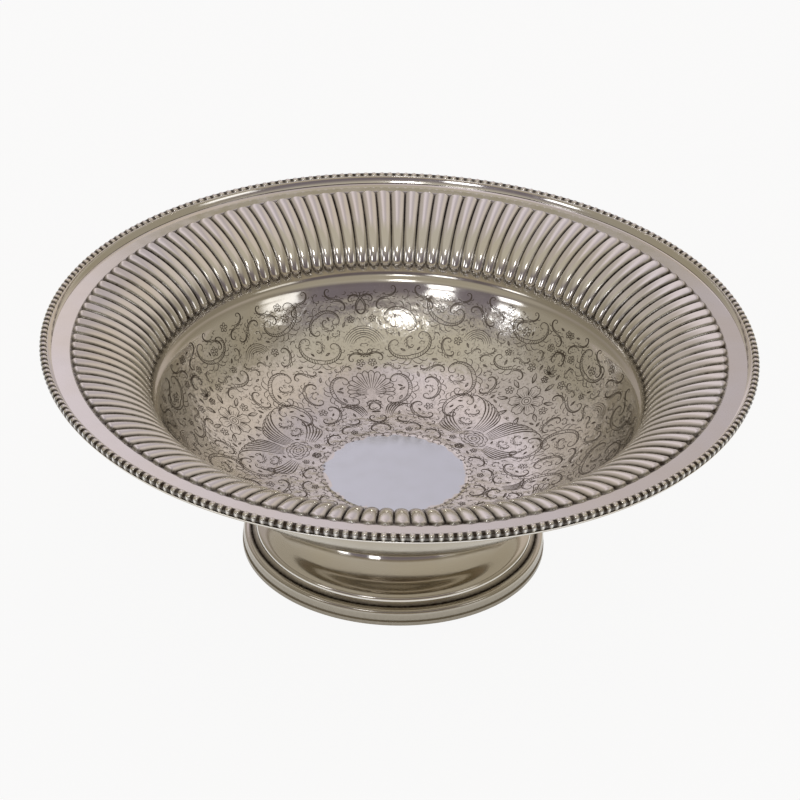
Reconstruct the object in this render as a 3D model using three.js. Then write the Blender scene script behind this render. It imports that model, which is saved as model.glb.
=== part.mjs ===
// Footed silver dish: a spun and chased bowl with a fluted border and a beaded rim, soldered to a
// spun pedestal foot with a moulded base. Millimetres, +Z up. The dish stands on z = 0, round the Z axis.
import * as THREE from 'three';

// Whole dish
const RIM_DIAMETER = 300;
const HEIGHT = 101.2;
const SHEET = 1.0;
const SEAM = 0.1;

// Rim, from the beads inwards
const BEAD_COUNT = 256;
const BEAD_DIAMETER = 3.5;
const BEAD_WAIST_DIAMETER = 1.7;
const BEAD_SINK = 0.25;
const EDGE_WIRE_INSET = 0.6;
const LEDGE_THICKNESS = 0.5;
const LEDGE_WIDTH = 2.4;
const LIP_DROP = 0.9;
const LIP_WIDTH = 0.6;
const CAVETTO_WIDTH = 2.6;
const CAVETTO_EDGE = 0.25;
const FLANGE_WIDTH = 6.55;
const SHEET_EDGE_INSET = 1.0;

// Fluted border
const FLUTE_COUNT = 128;
const FLUTE_RISE = 1.3;
const FLUTE_SINK = 0.4;
const FLUTE_BACK_RISE = 0.8;
const FLUTE_TIP_PLACE = 0.12;
const FLUTE_HEAD_PLACE = 0.95;
const FLUTE_SHOULDER = 0.22;
const BORDER_WIDTH = 32.95;
const BORDER_DROP = 21.05;
const BORDER_HEEL_HEIGHT = 14;
const BORDER_HEEL_REACH = 4.5;
const BORDER_LIP_REACH = 9.2;
const BORDER_LIP_FALL = 0.8;

// Ring shoulder and well
const RING_WIDTH = 4.6;
const RING_DROP = 7.2;
const RING_FULLNESS = 5.6;
const WELL_DEPTH = 35.2;
const SEAT_MARGIN = 1.5;

// Pedestal foot
const FOOT_TOP_DIAMETER = 84;
const WAIST_REACH_IN = 3.2;
const WAIST_FALL = 7.5;
const SCOTIA_DIAMETER = 101;
const SCOTIA_HEIGHT = 12.6;
const SCOTIA_FULLNESS = 9.5;
const OGEE_DIAMETER = 119;
const OGEE_HEIGHT = 8.2;
const OGEE_FULLNESS = 3.2;
const SKIRT_DIAMETER = 122;
const SKIRT_LIFT = 0.7;

// Base moulding round the skirt
const BASE_DIAMETER = 130;
const BASE_HEIGHT = 6.9;
const BASE_FILLET_HEIGHT = 1.6;
const BASE_FILLET_STEP = 0.5;
const BASE_TOP_WIDTH = 1.5;

// Solder fillets
const SOLDER_LEG = 1.4;
const SOLDER_DROP = 0.5;
const RIM_SOLDER_LEG = 0.7;

// Facets
const PLAIN_STEPS = 48;
const FOOT_STEPS = 40;
const BEAD_BACK_STEPS = 128;

// Places worked out from the sizes
const rimRadius = RIM_DIAMETER / 2;
const beadRadius = BEAD_DIAMETER / 2;
const beadCircle = rimRadius - beadRadius;
const beadZ = HEIGHT - beadRadius;
const ledgeZ = HEIGHT - BEAD_DIAMETER + BEAD_SINK;
const lipZ = HEIGHT - LIP_DROP;
const flangeZ = ledgeZ - LEDGE_THICKNESS;
const edgeWireOuter = rimRadius - EDGE_WIRE_INSET;
const sheetEdge = edgeWireOuter - SHEET_EDGE_INSET;
const lipOuter = edgeWireOuter - LEDGE_WIDTH;
const lipInner = lipOuter - LIP_WIDTH;
const flangeOuter = lipInner - CAVETTO_WIDTH;
const borderOuter = flangeOuter - FLANGE_WIDTH;
const borderInner = borderOuter - BORDER_WIDTH;
const borderHeelZ = flangeZ - BORDER_DROP;
const ringInner = borderInner - RING_WIDTH;
const ringZ = borderHeelZ - RING_DROP;
const floorZ = ringZ - WELL_DEPTH;
const floorRadius = FOOT_TOP_DIAMETER / 2 + SEAT_MARGIN;
const footTopZ = floorZ - SHEET;
const skirtRadius = SKIRT_DIAMETER / 2;
const baseRadius = BASE_DIAMETER / 2;
const baseInner = skirtRadius + SEAM;

// A closed solid from rings of points. Each ring runs round the axis and holds its own number of points.
// The rings are listed clockwise round the half section, outwards over the top and back underneath.
function loft(name, rings, material, joinsItself) {
  const positions = [];
  const indices = [];
  const starts = rings.map((ring) => {
    const start = positions.length / 3;
    ring.forEach((p) => positions.push(p.radius * Math.cos(p.angle), p.radius * Math.sin(p.angle), p.z));
    return start;
  });
  const spans = joinsItself ? rings.length : rings.length - 1;
  for (let k = 0; k < spans; k++) {
    const next = (k + 1) % rings.length;
    stitch(indices, rings[k], starts[k], rings[next], starts[next]);
  }
  const geometry = new THREE.BufferGeometry();
  geometry.setAttribute('position', new THREE.Float32BufferAttribute(positions, 3));
  geometry.setIndex(indices);
  geometry.computeVertexNormals();
  const mesh = new THREE.Mesh(geometry, material);
  mesh.name = name;
  return mesh;
}

// Triangles between two rings, taking the next point of whichever ring lags behind in angle.
function stitch(indices, a, aStart, b, bStart) {
  const aSteps = a.length > 1 ? a.length : 0;
  const bSteps = b.length > 1 ? b.length : 0;
  const angleAfter = (ring, i) => (i + 1 < ring.length ? ring[i + 1].angle : ring[0].angle + 2 * Math.PI);
  let i = 0;
  let j = 0;
  while (i < aSteps || j < bSteps) {
    const aHere = aStart + (i % a.length);
    const bHere = bStart + (j % b.length);
    const takeA = i < aSteps && (j >= bSteps || angleAfter(a, i) <= angleAfter(b, j));
    if (takeA) {
      i += 1;
      indices.push(aHere, bHere, aStart + (i % a.length));
    } else {
      j += 1;
      indices.push(aHere, bHere, bStart + (j % b.length));
    }
  }
}

// A plain ring, or with one step the single point where the section meets the axis.
function plainRing(point, steps) {
  return Array.from({ length: steps }, (_, i) => ({
    radius: point.x,
    z: point.y,
    angle: (2 * Math.PI * i) / steps,
  }));
}

// A turned solid from a closed half section, listed clockwise.
function turned(name, section, steps, material) {
  const rings = section.map((point) => plainRing(point, steps));
  return loft(name, rings, material, true);
}

// Points on the upper face of a sheet and the normals there, which point up and inwards.
function stations(curve, places) {
  return places.map((t) => {
    const point = curve.getPoint(t);
    const tangent = curve.getTangent(t);
    return { point, normal: new THREE.Vector2(-tangent.y, tangent.x) };
  });
}

function at(radius, z) {
  return new THREE.Vector2(radius, z);
}

function evenly(count) {
  return Array.from({ length: count }, (_, i) => i / (count - 1));
}

function silver(colour, roughness) {
  return new THREE.MeshStandardMaterial({ color: colour, metalness: 1, roughness });
}

// The curves of the bowl's upper face, from the floor out to the flange.
function bowlCurves() {
  const wellReach = ringInner - floorRadius;
  const wellRadius = (wellReach ** 2 + WELL_DEPTH ** 2) / (2 * WELL_DEPTH);
  const wellEnd = 2 * Math.atan2(WELL_DEPTH, wellReach);
  const well = new THREE.EllipseCurve(
    floorRadius,
    floorZ + wellRadius,
    wellRadius,
    wellRadius,
    -Math.PI / 2,
    -Math.PI / 2 + wellEnd,
  );
  const border = new THREE.CubicBezierCurve(
    at(borderInner, borderHeelZ),
    at(borderInner + BORDER_HEEL_REACH, borderHeelZ + BORDER_HEEL_HEIGHT),
    at(borderOuter - BORDER_LIP_REACH, flangeZ - BORDER_LIP_FALL),
    at(borderOuter, flangeZ),
  );
  const ringFoot = at(ringInner, ringZ).addScaledVector(well.getTangent(1), RING_FULLNESS);
  const ringHead = at(borderInner, borderHeelZ).addScaledVector(border.getTangent(0), -RING_FULLNESS);
  const ring = new THREE.CubicBezierCurve(
    at(ringInner, ringZ),
    ringFoot,
    ringHead,
    at(borderInner, borderHeelZ),
  );
  return { well, ring, border };
}

// One ring of the fluted border. The flutes are round lobes with sharp valleys between them, and phases
// are the places across one flute that get a point.
function flutedRing(station, phases, rise, depth) {
  const ring = [];
  for (let flute = 0; flute < FLUTE_COUNT; flute++) {
    phases.forEach((phase) => {
      const lobe = Math.sqrt(1 - (2 * phase - 1) ** 2);
      const height = (rise + FLUTE_SINK) * lobe - FLUTE_SINK - depth;
      const point = station.point.clone().addScaledVector(station.normal, height);
      ring.push({ radius: point.x, z: point.y, angle: (2 * Math.PI * (flute + phase)) / FLUTE_COUNT });
    });
  }
  return ring;
}

// The fluted border on one face of the sheet, from the tips of the flutes at the ring shoulder to their
// round heads at the flange. Both ends run out into a plain ring with one point at each valley.
function flutedBorder(border, spans, phases, rise, depth) {
  const places = evenly(spans + 1).map((t) => THREE.MathUtils.lerp(FLUTE_TIP_PLACE, FLUTE_HEAD_PLACE, t));
  const [tips, heads] = stations(border, [0, 1]).map(({ point, normal }) =>
    plainRing(point.clone().addScaledVector(normal, -depth), FLUTE_COUNT),
  );
  const lobes = stations(border, places).map((station) => flutedRing(station, phases, rise, depth));
  return [tips, ...lobes, heads];
}

// The bowl: floor, well, ring shoulder, fluted border and flat flange in one sheet. The flutes are chased
// through it, so they show on the back too.
function makeBowl() {
  const { well, ring, border } = bowlCurves();
  const inside = [...stations(well, evenly(5)), ...stations(ring, [0.25, 0.5, 0.75])];
  const face = ({ point }) => plainRing(point, PLAIN_STEPS);
  const reverse = ({ point, normal }) => {
    return plainRing(point.clone().addScaledVector(normal, -SHEET), PLAIN_STEPS);
  };
  const shoulders = [0, FLUTE_SHOULDER, 1 - FLUTE_SHOULDER];
  const top = [
    plainRing(at(0, floorZ), 1),
    ...inside.map(face),
    ...flutedBorder(border, 3, shoulders, FLUTE_RISE, 0),
    plainRing(at(sheetEdge, flangeZ), PLAIN_STEPS),
  ];
  const back = [
    plainRing(at(0, footTopZ), 1),
    ...inside.map(reverse),
    ...flutedBorder(border, 2, [0, 0.5], FLUTE_BACK_RISE, SHEET),
    plainRing(at(sheetEdge, flangeZ - SHEET), PLAIN_STEPS),
  ];
  return loft('bowl', [...top, ...back.reverse()], silver(0xcfcac2, 0.16), false);
}

// The bead wire: round beads on a thinner wire, cut flat behind the lip and where they sit on the ledge.
function makeRimBeads() {
  const back = lipOuter + SEAM;
  const seat = Math.sqrt(beadRadius ** 2 - (beadRadius - BEAD_SINK) ** 2);
  const waist = BEAD_WAIST_DIAMETER / 2;
  const swells = [at(beadCircle, HEIGHT), at(rimRadius, beadZ), at(beadCircle + seat, ledgeZ)];
  const waistEdge = beadCircle + waist;
  const waists = [at(beadCircle, beadZ + waist), at(waistEdge, beadZ), at(waistEdge, ledgeZ)];
  const beads = swells.map((swell, k) => {
    const ring = [];
    for (let bead = 0; bead < BEAD_COUNT; bead++) {
      const angle = (2 * Math.PI * bead) / BEAD_COUNT;
      ring.push({ radius: swell.x, z: swell.y, angle });
      ring.push({ radius: waists[k].x, z: waists[k].y, angle: angle + Math.PI / BEAD_COUNT });
    }
    return ring;
  });
  const backEdges = [at(back, ledgeZ), at(back, lipZ)].map((point) => plainRing(point, BEAD_BACK_STEPS));
  return loft('rim_bead_wire', [...backEdges, ...beads], silver(0xd2cdc5, 0.2), true);
}

// The moulded wire on the edge of the flange: a hollow face that rises to a lip, and a ledge outside the
// lip that carries the beads and shows under them.
function makeEdgeWire() {
  const cavetto = new THREE.QuadraticBezierCurve(
    at(flangeOuter, flangeZ + CAVETTO_EDGE),
    at(lipInner, flangeZ + CAVETTO_EDGE),
    at(lipInner, lipZ),
  );
  const section = [
    at(flangeOuter, flangeZ),
    ...cavetto.getPoints(3),
    at(lipOuter, lipZ),
    at(lipOuter, ledgeZ),
    at(edgeWireOuter, ledgeZ),
    at(edgeWireOuter, flangeZ),
  ];
  return turned('rim_edge_wire', section, PLAIN_STEPS, silver(0xcfcac2, 0.18));
}

// The solder fillet under the ledge, in the corner against the raw edge of the sheet.
function makeRimSolder() {
  const inner = sheetEdge + SEAM;
  const section = [
    at(inner, flangeZ - SOLDER_DROP),
    at(inner, flangeZ),
    at(inner + RIM_SOLDER_LEG, flangeZ),
  ];
  return turned('rim_solder_seam', section, PLAIN_STEPS, silver(0xaaa69f, 0.45));
}

// The foot's outer face from the bowl down to the top of the skirt: a hollow waist, then a round shoulder
// and a small step.
function footStations() {
  const scotiaEnd = at(SCOTIA_DIAMETER / 2, SCOTIA_HEIGHT);
  const ogeeEnd = at(OGEE_DIAMETER / 2, OGEE_HEIGHT);
  const slope = ogeeEnd.clone().sub(scotiaEnd).normalize();
  const top = at(FOOT_TOP_DIAMETER / 2, footTopZ);
  const waist = new THREE.CubicBezierCurve(
    top,
    at(top.x - WAIST_REACH_IN, footTopZ - WAIST_FALL),
    scotiaEnd.clone().addScaledVector(slope, -SCOTIA_FULLNESS),
    scotiaEnd,
  );
  const ogee = new THREE.CubicBezierCurve(
    scotiaEnd,
    scotiaEnd.clone().addScaledVector(slope, OGEE_FULLNESS),
    at(ogeeEnd.x, ogeeEnd.y + OGEE_FULLNESS),
    ogeeEnd,
  );
  return [...stations(waist, evenly(5)), ...stations(ogee, [0.5, 1])];
}

// The pedestal foot, open underneath, with the same wall all through.
function makeFoot() {
  const face = footStations();
  const outside = face.map(({ point }) => point);
  const inside = face.slice(1).map(({ point, normal }) => point.clone().addScaledVector(normal, -SHEET));
  const topInside = at(FOOT_TOP_DIAMETER / 2 - SHEET, footTopZ);
  const skirtTop = BASE_HEIGHT;
  const section = [
    topInside,
    ...outside,
    at(skirtRadius, skirtTop),
    at(skirtRadius, SKIRT_LIFT),
    at(skirtRadius - SHEET, SKIRT_LIFT),
    at(skirtRadius - SHEET, skirtTop - SHEET),
    ...inside.reverse(),
  ];
  return turned('foot', section, FOOT_STEPS, silver(0xcac5bc, 0.14));
}

// The solder fillet inside the top of the foot, against the underside of the bowl.
function makeFootSolder() {
  const [, below] = footStations();
  const wallTop = at(FOOT_TOP_DIAMETER / 2 - SHEET - SEAM, footTopZ);
  const wallBelow = below.point.clone().addScaledVector(below.normal, -SHEET).sub(at(SEAM, 0));
  const alongWall = wallBelow.sub(wallTop).setLength(SOLDER_LEG);
  const section = [at(wallTop.x - SOLDER_LEG, footTopZ), wallTop, wallTop.clone().add(alongWall)];
  return turned('foot_solder_seam', section, FOOT_STEPS, silver(0xaaa69f, 0.45));
}

// The moulded wire round the bottom of the foot: flat top, quarter round, small step and plain fillet.
function makeBaseMoulding() {
  const shoulder = at(baseInner + BASE_TOP_WIDTH, BASE_HEIGHT);
  const stepRadius = baseRadius - BASE_FILLET_STEP;
  const ovolo = new THREE.QuadraticBezierCurve(
    shoulder,
    at(baseRadius + BASE_FILLET_STEP, BASE_HEIGHT),
    at(stepRadius, BASE_FILLET_HEIGHT + BASE_FILLET_STEP),
  );
  const section = [
    at(baseInner, BASE_HEIGHT),
    ...ovolo.getPoints(4),
    at(baseRadius, BASE_FILLET_HEIGHT),
    at(baseRadius, 0),
    at(baseInner, 0),
  ];
  return turned('foot_base_moulding', section, FOOT_STEPS, silver(0xcdc8c0, 0.16));
}

// The solder fillet under the skirt, against the inner face of the base moulding.
function makeBaseSolder() {
  const outer = baseInner - SEAM;
  const section = [
    at(skirtRadius - SHEET, SKIRT_LIFT),
    at(outer, SKIRT_LIFT),
    at(outer, SKIRT_LIFT - SOLDER_DROP),
  ];
  return turned('base_solder_seam', section, FOOT_STEPS, silver(0xaaa69f, 0.45));
}

const dish = new THREE.Group();
dish.add(
  makeBowl(),
  makeRimBeads(),
  makeEdgeWire(),
  makeRimSolder(),
  makeFoot(),
  makeFootSolder(),
  makeBaseMoulding(),
  makeBaseSolder(),
);

export default dish;
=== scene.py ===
"""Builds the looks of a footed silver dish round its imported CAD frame.

The dish is a spun bowl with a chased, fluted border, an engraved well, a rim of round beads on a moulded
edge wire, and a spun pedestal foot with a moulded base. Everything is set out round the Z axis, stands on
z = 0 and is in metres.
"""

import math
from collections import namedtuple

import bpy
import numpy as np
from bpy.props import FloatProperty, FloatVectorProperty, IntProperty, PointerProperty
from mathutils import Matrix, Vector


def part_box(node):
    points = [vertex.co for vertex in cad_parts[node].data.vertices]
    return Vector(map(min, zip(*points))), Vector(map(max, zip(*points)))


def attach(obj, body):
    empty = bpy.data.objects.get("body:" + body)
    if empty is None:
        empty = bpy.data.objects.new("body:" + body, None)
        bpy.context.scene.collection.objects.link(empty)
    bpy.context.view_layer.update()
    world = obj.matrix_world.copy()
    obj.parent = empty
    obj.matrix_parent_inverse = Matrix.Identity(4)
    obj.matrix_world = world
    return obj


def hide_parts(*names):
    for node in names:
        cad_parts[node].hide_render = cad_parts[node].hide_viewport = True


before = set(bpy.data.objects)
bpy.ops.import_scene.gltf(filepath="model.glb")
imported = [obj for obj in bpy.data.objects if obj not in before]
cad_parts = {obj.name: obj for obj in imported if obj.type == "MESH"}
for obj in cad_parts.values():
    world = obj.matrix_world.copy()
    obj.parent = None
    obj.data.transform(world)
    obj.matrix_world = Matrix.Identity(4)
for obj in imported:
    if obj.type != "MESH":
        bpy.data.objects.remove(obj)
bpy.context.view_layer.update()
BEAD_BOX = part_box("rim_bead_wire")
BASE_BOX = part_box("foot_base_moulding")
FOOT_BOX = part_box("foot")

bl_info = {
    "name": "Footed silver dish",
    "version": (1, 0, 0),
    "blender": (4, 5, 0),
    "location": "View3D > Sidebar > Dish",
    "description": "Builds a footed dish with a fluted border, a beaded rim and an engraved well",
    "category": "Add Mesh",
}

MM = 0.001


# Properties


def length(name, description, metres):
    """A length that a user may change."""
    return FloatProperty(
        name=name,
        description=description,
        default=metres,
        min=0.0,
        precision=5,
        unit="LENGTH",
        subtype="DISTANCE",
    )


def share(name, description, default):
    """A part of a whole, from 0 to 1."""
    return FloatProperty(
        name=name,
        description=description,
        default=default,
        min=0.0,
        max=1.0,
        subtype="FACTOR",
    )


def angle(name, description, degrees):
    """An angle, given in degrees."""
    return FloatProperty(
        name=name,
        description=description,
        default=math.radians(degrees),
        subtype="ANGLE",
    )


def colour(name, description, red, green, blue):
    """A colour in linear light."""
    return FloatVectorProperty(
        name=name,
        description=description,
        default=(red, green, blue),
        size=3,
        min=0.0,
        max=1.0,
        subtype="COLOR",
    )


def number(name, description, default):
    """A count of like parts."""
    return IntProperty(name=name, description=description, default=default, min=3)


class DishSizes(bpy.types.PropertyGroup):
    """Sizes of the dish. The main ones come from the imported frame."""

    rim_diameter: length("Rim diameter", "Across the beads", 2 * BEAD_BOX[1].x)
    height: length("Height", "From the table to the top of the beads", BEAD_BOX[1].z)
    sheet: length("Sheet", "Thickness of the silver sheet", 1.0 * MM)
    bead_count: number("Beads", "Beads round the rim", 256)
    bead_diameter: length("Bead diameter", "Across one bead", 3.5 * MM)
    # the wire between the beads is darkened in the gaps as painted shade
    bead_wire: length("Bead wire", "Across the dark wire between the beads", 2.9 * MM)
    bead_sink: length("Bead sink", "How far the beads are let into their ledge", 0.25 * MM)
    edge_inset: length("Edge inset", "How far the edge wire stands back from the beads", 0.6 * MM)
    ledge_thickness: length("Ledge thickness", "Of the edge wire under the beads", 0.5 * MM)
    ledge_width: length("Ledge width", "Of the edge wire under the beads", 2.4 * MM)
    lip_drop: length("Lip drop", "From the top of the beads to the lip inside them", 0.9 * MM)
    lip_width: length("Lip width", "Of the lip inside the beads", 0.6 * MM)
    cavetto_width: length("Cavetto width", "Of the hollow moulding inside the lip", 2.6 * MM)
    cavetto_set_back: length("Cavetto set-back", "From the flange out to the hollow face", 1.2 * MM)
    cavetto_edge: length("Cavetto edge", "Thickness of the edge wire at the flange", 0.25 * MM)
    sheet_edge_inset: length("Sheet edge inset", "How far the sheet ends inside the edge wire", 1.0 * MM)
    seam: length("Seam", "Gap that the solder fills", 0.1 * MM)
    flange_width: length("Flange width", "Of the flat band inside the rim", 6.55 * MM)
    flute_count: number("Flutes", "Flutes round the border", 128)
    flute_rise: length("Flute rise", "Crown of a flute over the sheet", 1.3 * MM)
    flute_sink: length("Flute sink", "Valley between two flutes under the sheet", 0.4 * MM)
    flute_back_rise: length("Flute back rise", "Hollow of a flute on the back", 0.8 * MM)
    flute_tip: share("Flute tip", "Part of the border where the round tips end", 0.08)
    flute_head: share("Flute head", "Place on the border where the round heads start", 0.91)
    border_width: length("Border width", "Of the fluted border in plan", 32.95 * MM)
    border_drop: length("Border drop", "From the flange to the foot of the flutes", 21.05 * MM)
    heel_height: length("Heel height", "Handle of the border curve at its foot, upwards", 14.0 * MM)
    heel_reach: length("Heel reach", "Handle of the border curve at its foot, outwards", 4.5 * MM)
    lip_reach: length("Lip reach", "Handle of the border curve at the flange, inwards", 9.2 * MM)
    lip_fall: length("Lip fall", "Handle of the border curve at the flange, downwards", 0.8 * MM)
    ring_width: length("Ring width", "Of the plain shoulder below the flutes", 4.6 * MM)
    ring_drop: length("Ring drop", "Of the plain shoulder below the flutes", 7.2 * MM)
    ring_fullness: length("Ring fullness", "Handles of the shoulder curve", 5.6 * MM)
    floor_radius: length("Floor radius", "Flat of the well over the foot", 43.5 * MM)
    foot_top_diameter: length("Foot top", "Across the foot where it meets the bowl", 84.0 * MM)
    waist_reach: length("Waist reach", "Handle of the waist curve, inwards", 3.2 * MM)
    waist_fall: length("Waist fall", "Handle of the waist curve, downwards", 7.5 * MM)
    scotia_diameter: length("Scotia diameter", "Across the end of the hollow waist", 101.0 * MM)
    scotia_height: length("Scotia height", "Of the end of the hollow waist", 12.6 * MM)
    scotia_fullness: length("Scotia fullness", "Handle of the hollow waist at its end", 9.5 * MM)
    ogee_diameter: length("Shoulder diameter", "Across the round shoulder of the foot", 119.0 * MM)
    ogee_height: length("Shoulder height", "Of the foot of the round shoulder", 8.2 * MM)
    ogee_fullness: length("Shoulder fullness", "Handles of the round shoulder", 3.2 * MM)
    skirt_diameter: length("Skirt diameter", "Across the wall behind the base moulding", 2 * FOOT_BOX[1].x)
    skirt_lift: length("Skirt lift", "From the table to the edge of the wall", FOOT_BOX[0].z)
    base_diameter: length("Base diameter", "Across the base moulding", 2 * BASE_BOX[1].x)
    base_height: length("Base height", "Of the base moulding", BASE_BOX[1].z)
    base_fillet: length("Base fillet", "Height of the plain band at the table", 1.6 * MM)
    base_step: length("Base step", "Width of the step over the plain band", 0.5 * MM)
    base_top: length("Base top", "Flat top of the base moulding", 1.5 * MM)
    line_width: length("Engraved line", "Width of a bold engraved line", 0.42 * MM)
    pattern_repeats: number("Pattern repeats", "Repeats of the engraving round the well", 3)
    pattern_turn: angle("Pattern turn", "Where the first flower of the engraving stands", 41.0)


class DishColours(bpy.types.PropertyGroup):
    """Colours of the finishes."""

    silver: colour("Silver", "Polished silver", 0.93, 0.915, 0.905)
    warm_silver: colour("Warm silver", "Silver with a breath of tarnish", 0.91, 0.875, 0.81)
    # a painted reflection: the plain centre is tinted cool as if it showed a cool surround
    cool_reflection_silver: colour("Cool silver", "Silver of the plain centre", 0.84, 0.91, 1.0)
    # the film colour is toning on the plain ring, and painted shade on the underside, foot, base and lower
    # beads, where the shadowed table would be seen in them
    toned_and_shaded_silver: colour("Toned silver", "Silver under a film of tarnish", 0.41, 0.365, 0.285)
    # the dark of tarnish in valleys and joints, and also of painted shade in bead gaps, flute valleys and low
    # on the base
    tarnish_and_shade: colour("Tarnish", "Dark tarnish in valleys and seams", 0.05, 0.038, 0.028)
    cut: colour("Engraved cut", "Oxidised bottom of an engraved line", 0.16, 0.135, 0.115)
    solder: colour("Solder", "Dull solder in the seams", 0.52, 0.50, 0.47)


class DishStage(bpy.types.PropertyGroup):
    """Camera and light."""

    aim: length("Camera aim", "Height of the point that the camera is set out from", 98.0 * MM)
    distance: length("Camera distance", "From the aim", 1.425)
    elevation: angle("Camera elevation", "Above the plane of the rim", 30.324)
    roll: angle("Camera roll", "Turn about the line of sight", 1.997)
    dip: angle("Camera dip", "Tilt below the aim", 0.946)
    lens: FloatProperty(name="Lens", description="Focal length", default=153.47, min=1.0, unit="CAMERA")
    table: colour("Table", "Pale table", 0.90, 0.89, 0.88)
    back_left: colour("Back wall, left", "Wall that faces the camera", 0.71, 0.635, 0.655)
    back_right: colour("Back wall, right", "Wall that faces the camera", 0.46, 0.41, 0.42)
    back_wide: colour("Back wall, wide", "Rest of the wall that faces the camera", 0.58, 0.51, 0.45)
    back_far: colour("Back wall, far left", "Left end of the wall that faces the camera", 0.44, 0.39, 0.35)
    back_low: colour("Back wall, low", "Low middle of the wall that faces the camera", 0.31, 0.275, 0.20)
    sides: colour("Side walls", "Walls at the left and right", 0.30, 0.265, 0.20)
    ceiling: colour("Ceiling", "Overhead", 0.46, 0.42, 0.34)
    front: colour("Front wall", "Wall behind the camera", 0.16, 0.135, 0.145)
    front_low: colour("Front wall, low", "Foot of the wall behind the camera", 0.42, 0.36, 0.26)
    low: colour("Horizon", "Band at table height", 0.42, 0.385, 0.32)


# Node trees


def add(tree, kind, inputs=None, **settings):
    """Adds a node. An input is a socket to link or a plain value to set."""
    made = tree.nodes.new(kind)
    for key, value in settings.items():
        setattr(made, key, value)
    for key, value in (inputs or {}).items():
        if isinstance(value, bpy.types.NodeSocket):
            tree.links.new(value, made.inputs[key])
        else:
            made.inputs[key].default_value = value
    return made


def calc(tree, operation, *terms, clamp=False):
    """A Math node's result."""
    made = add(tree, "ShaderNodeMath", dict(enumerate(terms)), operation=operation, use_clamp=clamp)
    return made.outputs[0]


def mapped(tree, value, low, high, to_low, to_high, smooth=False):
    """A Map Range node's result, clamped."""
    kind = "SMOOTHSTEP" if smooth else "LINEAR"
    inputs = {0: value, 1: low, 2: high, 3: to_low, 4: to_high}
    return add(tree, "ShaderNodeMapRange", inputs, interpolation_type=kind, clamp=True).outputs[0]


def rising(tree, value, low, high):
    """A smooth step from 0 at low to 1 at high."""
    return mapped(tree, value, low, high, 0.0, 1.0, True)


def falling(tree, value, low, high):
    """A smooth step from 1 at low to 0 at high."""
    return mapped(tree, value, low, high, 1.0, 0.0, True)


def mixed(tree, factor, first, second):
    """A colour between two, each a socket or plain red, green and blue."""
    ends = [end if isinstance(end, bpy.types.NodeSocket) else (*end, 1.0) for end in (first, second)]
    return add(tree, "ShaderNodeMix", {0: factor, 6: ends[0], 7: ends[1]}, data_type="RGBA").outputs[2]


def noise(tree, place, scale, detail):
    """A Noise Texture's value at a place."""
    inputs = {"Vector": place, "Scale": scale, "Detail": detail}
    return add(tree, "ShaderNodeTexNoise", inputs).outputs["Fac"]


def bumped(tree, height, strength, depth, normal=None):
    """A normal that a height bends, over an earlier normal where one is given."""
    inputs = {"Height": height, "Strength": strength, "Distance": depth}
    if normal is not None:
        inputs["Normal"] = normal
    return add(tree, "ShaderNodeBump", inputs).outputs["Normal"]


def axes_of(tree, place):
    """The x, y and z of a place."""
    return add(tree, "ShaderNodeSeparateXYZ", {0: place}).outputs


def from_axis(tree, axes):
    """A place's distance from the Z axis."""
    aside = calc(tree, "MULTIPLY", axes[1], axes[1])
    return calc(tree, "SQRT", calc(tree, "MULTIPLY_ADD", axes[0], axes[0], aside))


def attribute(tree, name, kind="FLOAT"):
    """A named attribute, inside a geometry tree."""
    made = add(tree, "GeometryNodeInputNamedAttribute", {"Name": name}, data_type=kind)
    return made.outputs["Attribute"]


def stored(tree, geometry, name, value):
    """Geometry with a named value on its points."""
    inputs = {"Geometry": geometry, "Name": name, "Value": value}
    return add(tree, "GeometryNodeStoreNamedAttribute", inputs, data_type="FLOAT").outputs[0]


def joined(tree, first, second):
    """Two geometries in one."""
    made = add(tree, "GeometryNodeJoinGeometry", {0: first})
    tree.links.new(second, made.inputs[0])
    return made.outputs[0]


def copied(tree, spots, geometry, turn):
    """Copies of a geometry on spots, each turned about the Z axis."""
    euler = add(tree, "ShaderNodeCombineXYZ", {2: turn}).outputs[0]
    rotation = add(tree, "FunctionNodeEulerToRotation", {0: euler}).outputs[0]
    inputs = {"Points": spots, "Instance": geometry, "Rotation": rotation}
    return add(tree, "GeometryNodeInstanceOnPoints", inputs).outputs[0]


def new_material(name, metallic):
    """A material, its node tree and its shader."""
    material = bpy.data.materials.new(name)
    material.use_nodes = True
    shader = material.node_tree.nodes["Principled BSDF"]
    shader.inputs["Metallic"].default_value = metallic
    return material, material.node_tree, shader


def geometry_tree(name, inputs):
    """An empty geometry tree with a Geometry input, the named inputs and a Geometry output."""
    tree = bpy.data.node_groups.new(name, "GeometryNodeTree")
    tree.interface.new_socket("Geometry", in_out="INPUT", socket_type="NodeSocketGeometry")
    for label, kind in inputs.items():
        tree.interface.new_socket(label, in_out="INPUT", socket_type=kind)
    tree.interface.new_socket("Geometry", in_out="OUTPUT", socket_type="NodeSocketGeometry")
    return tree, tree.nodes.new("NodeGroupInput").outputs, tree.nodes.new("NodeGroupOutput").inputs


def close_tree(tree, geometry, material, output):
    """Ends a geometry tree with real faces, smooth shading and the material."""
    real = add(tree, "GeometryNodeRealizeInstances", {0: geometry})
    smooth = add(tree, "GeometryNodeSetShadeSmooth", {"Geometry": real.outputs[0]})
    dressed = add(tree, "GeometryNodeSetMaterial", {"Geometry": smooth.outputs[0], "Material": material})
    tree.links.new(dressed.outputs[0], output["Geometry"])


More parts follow.
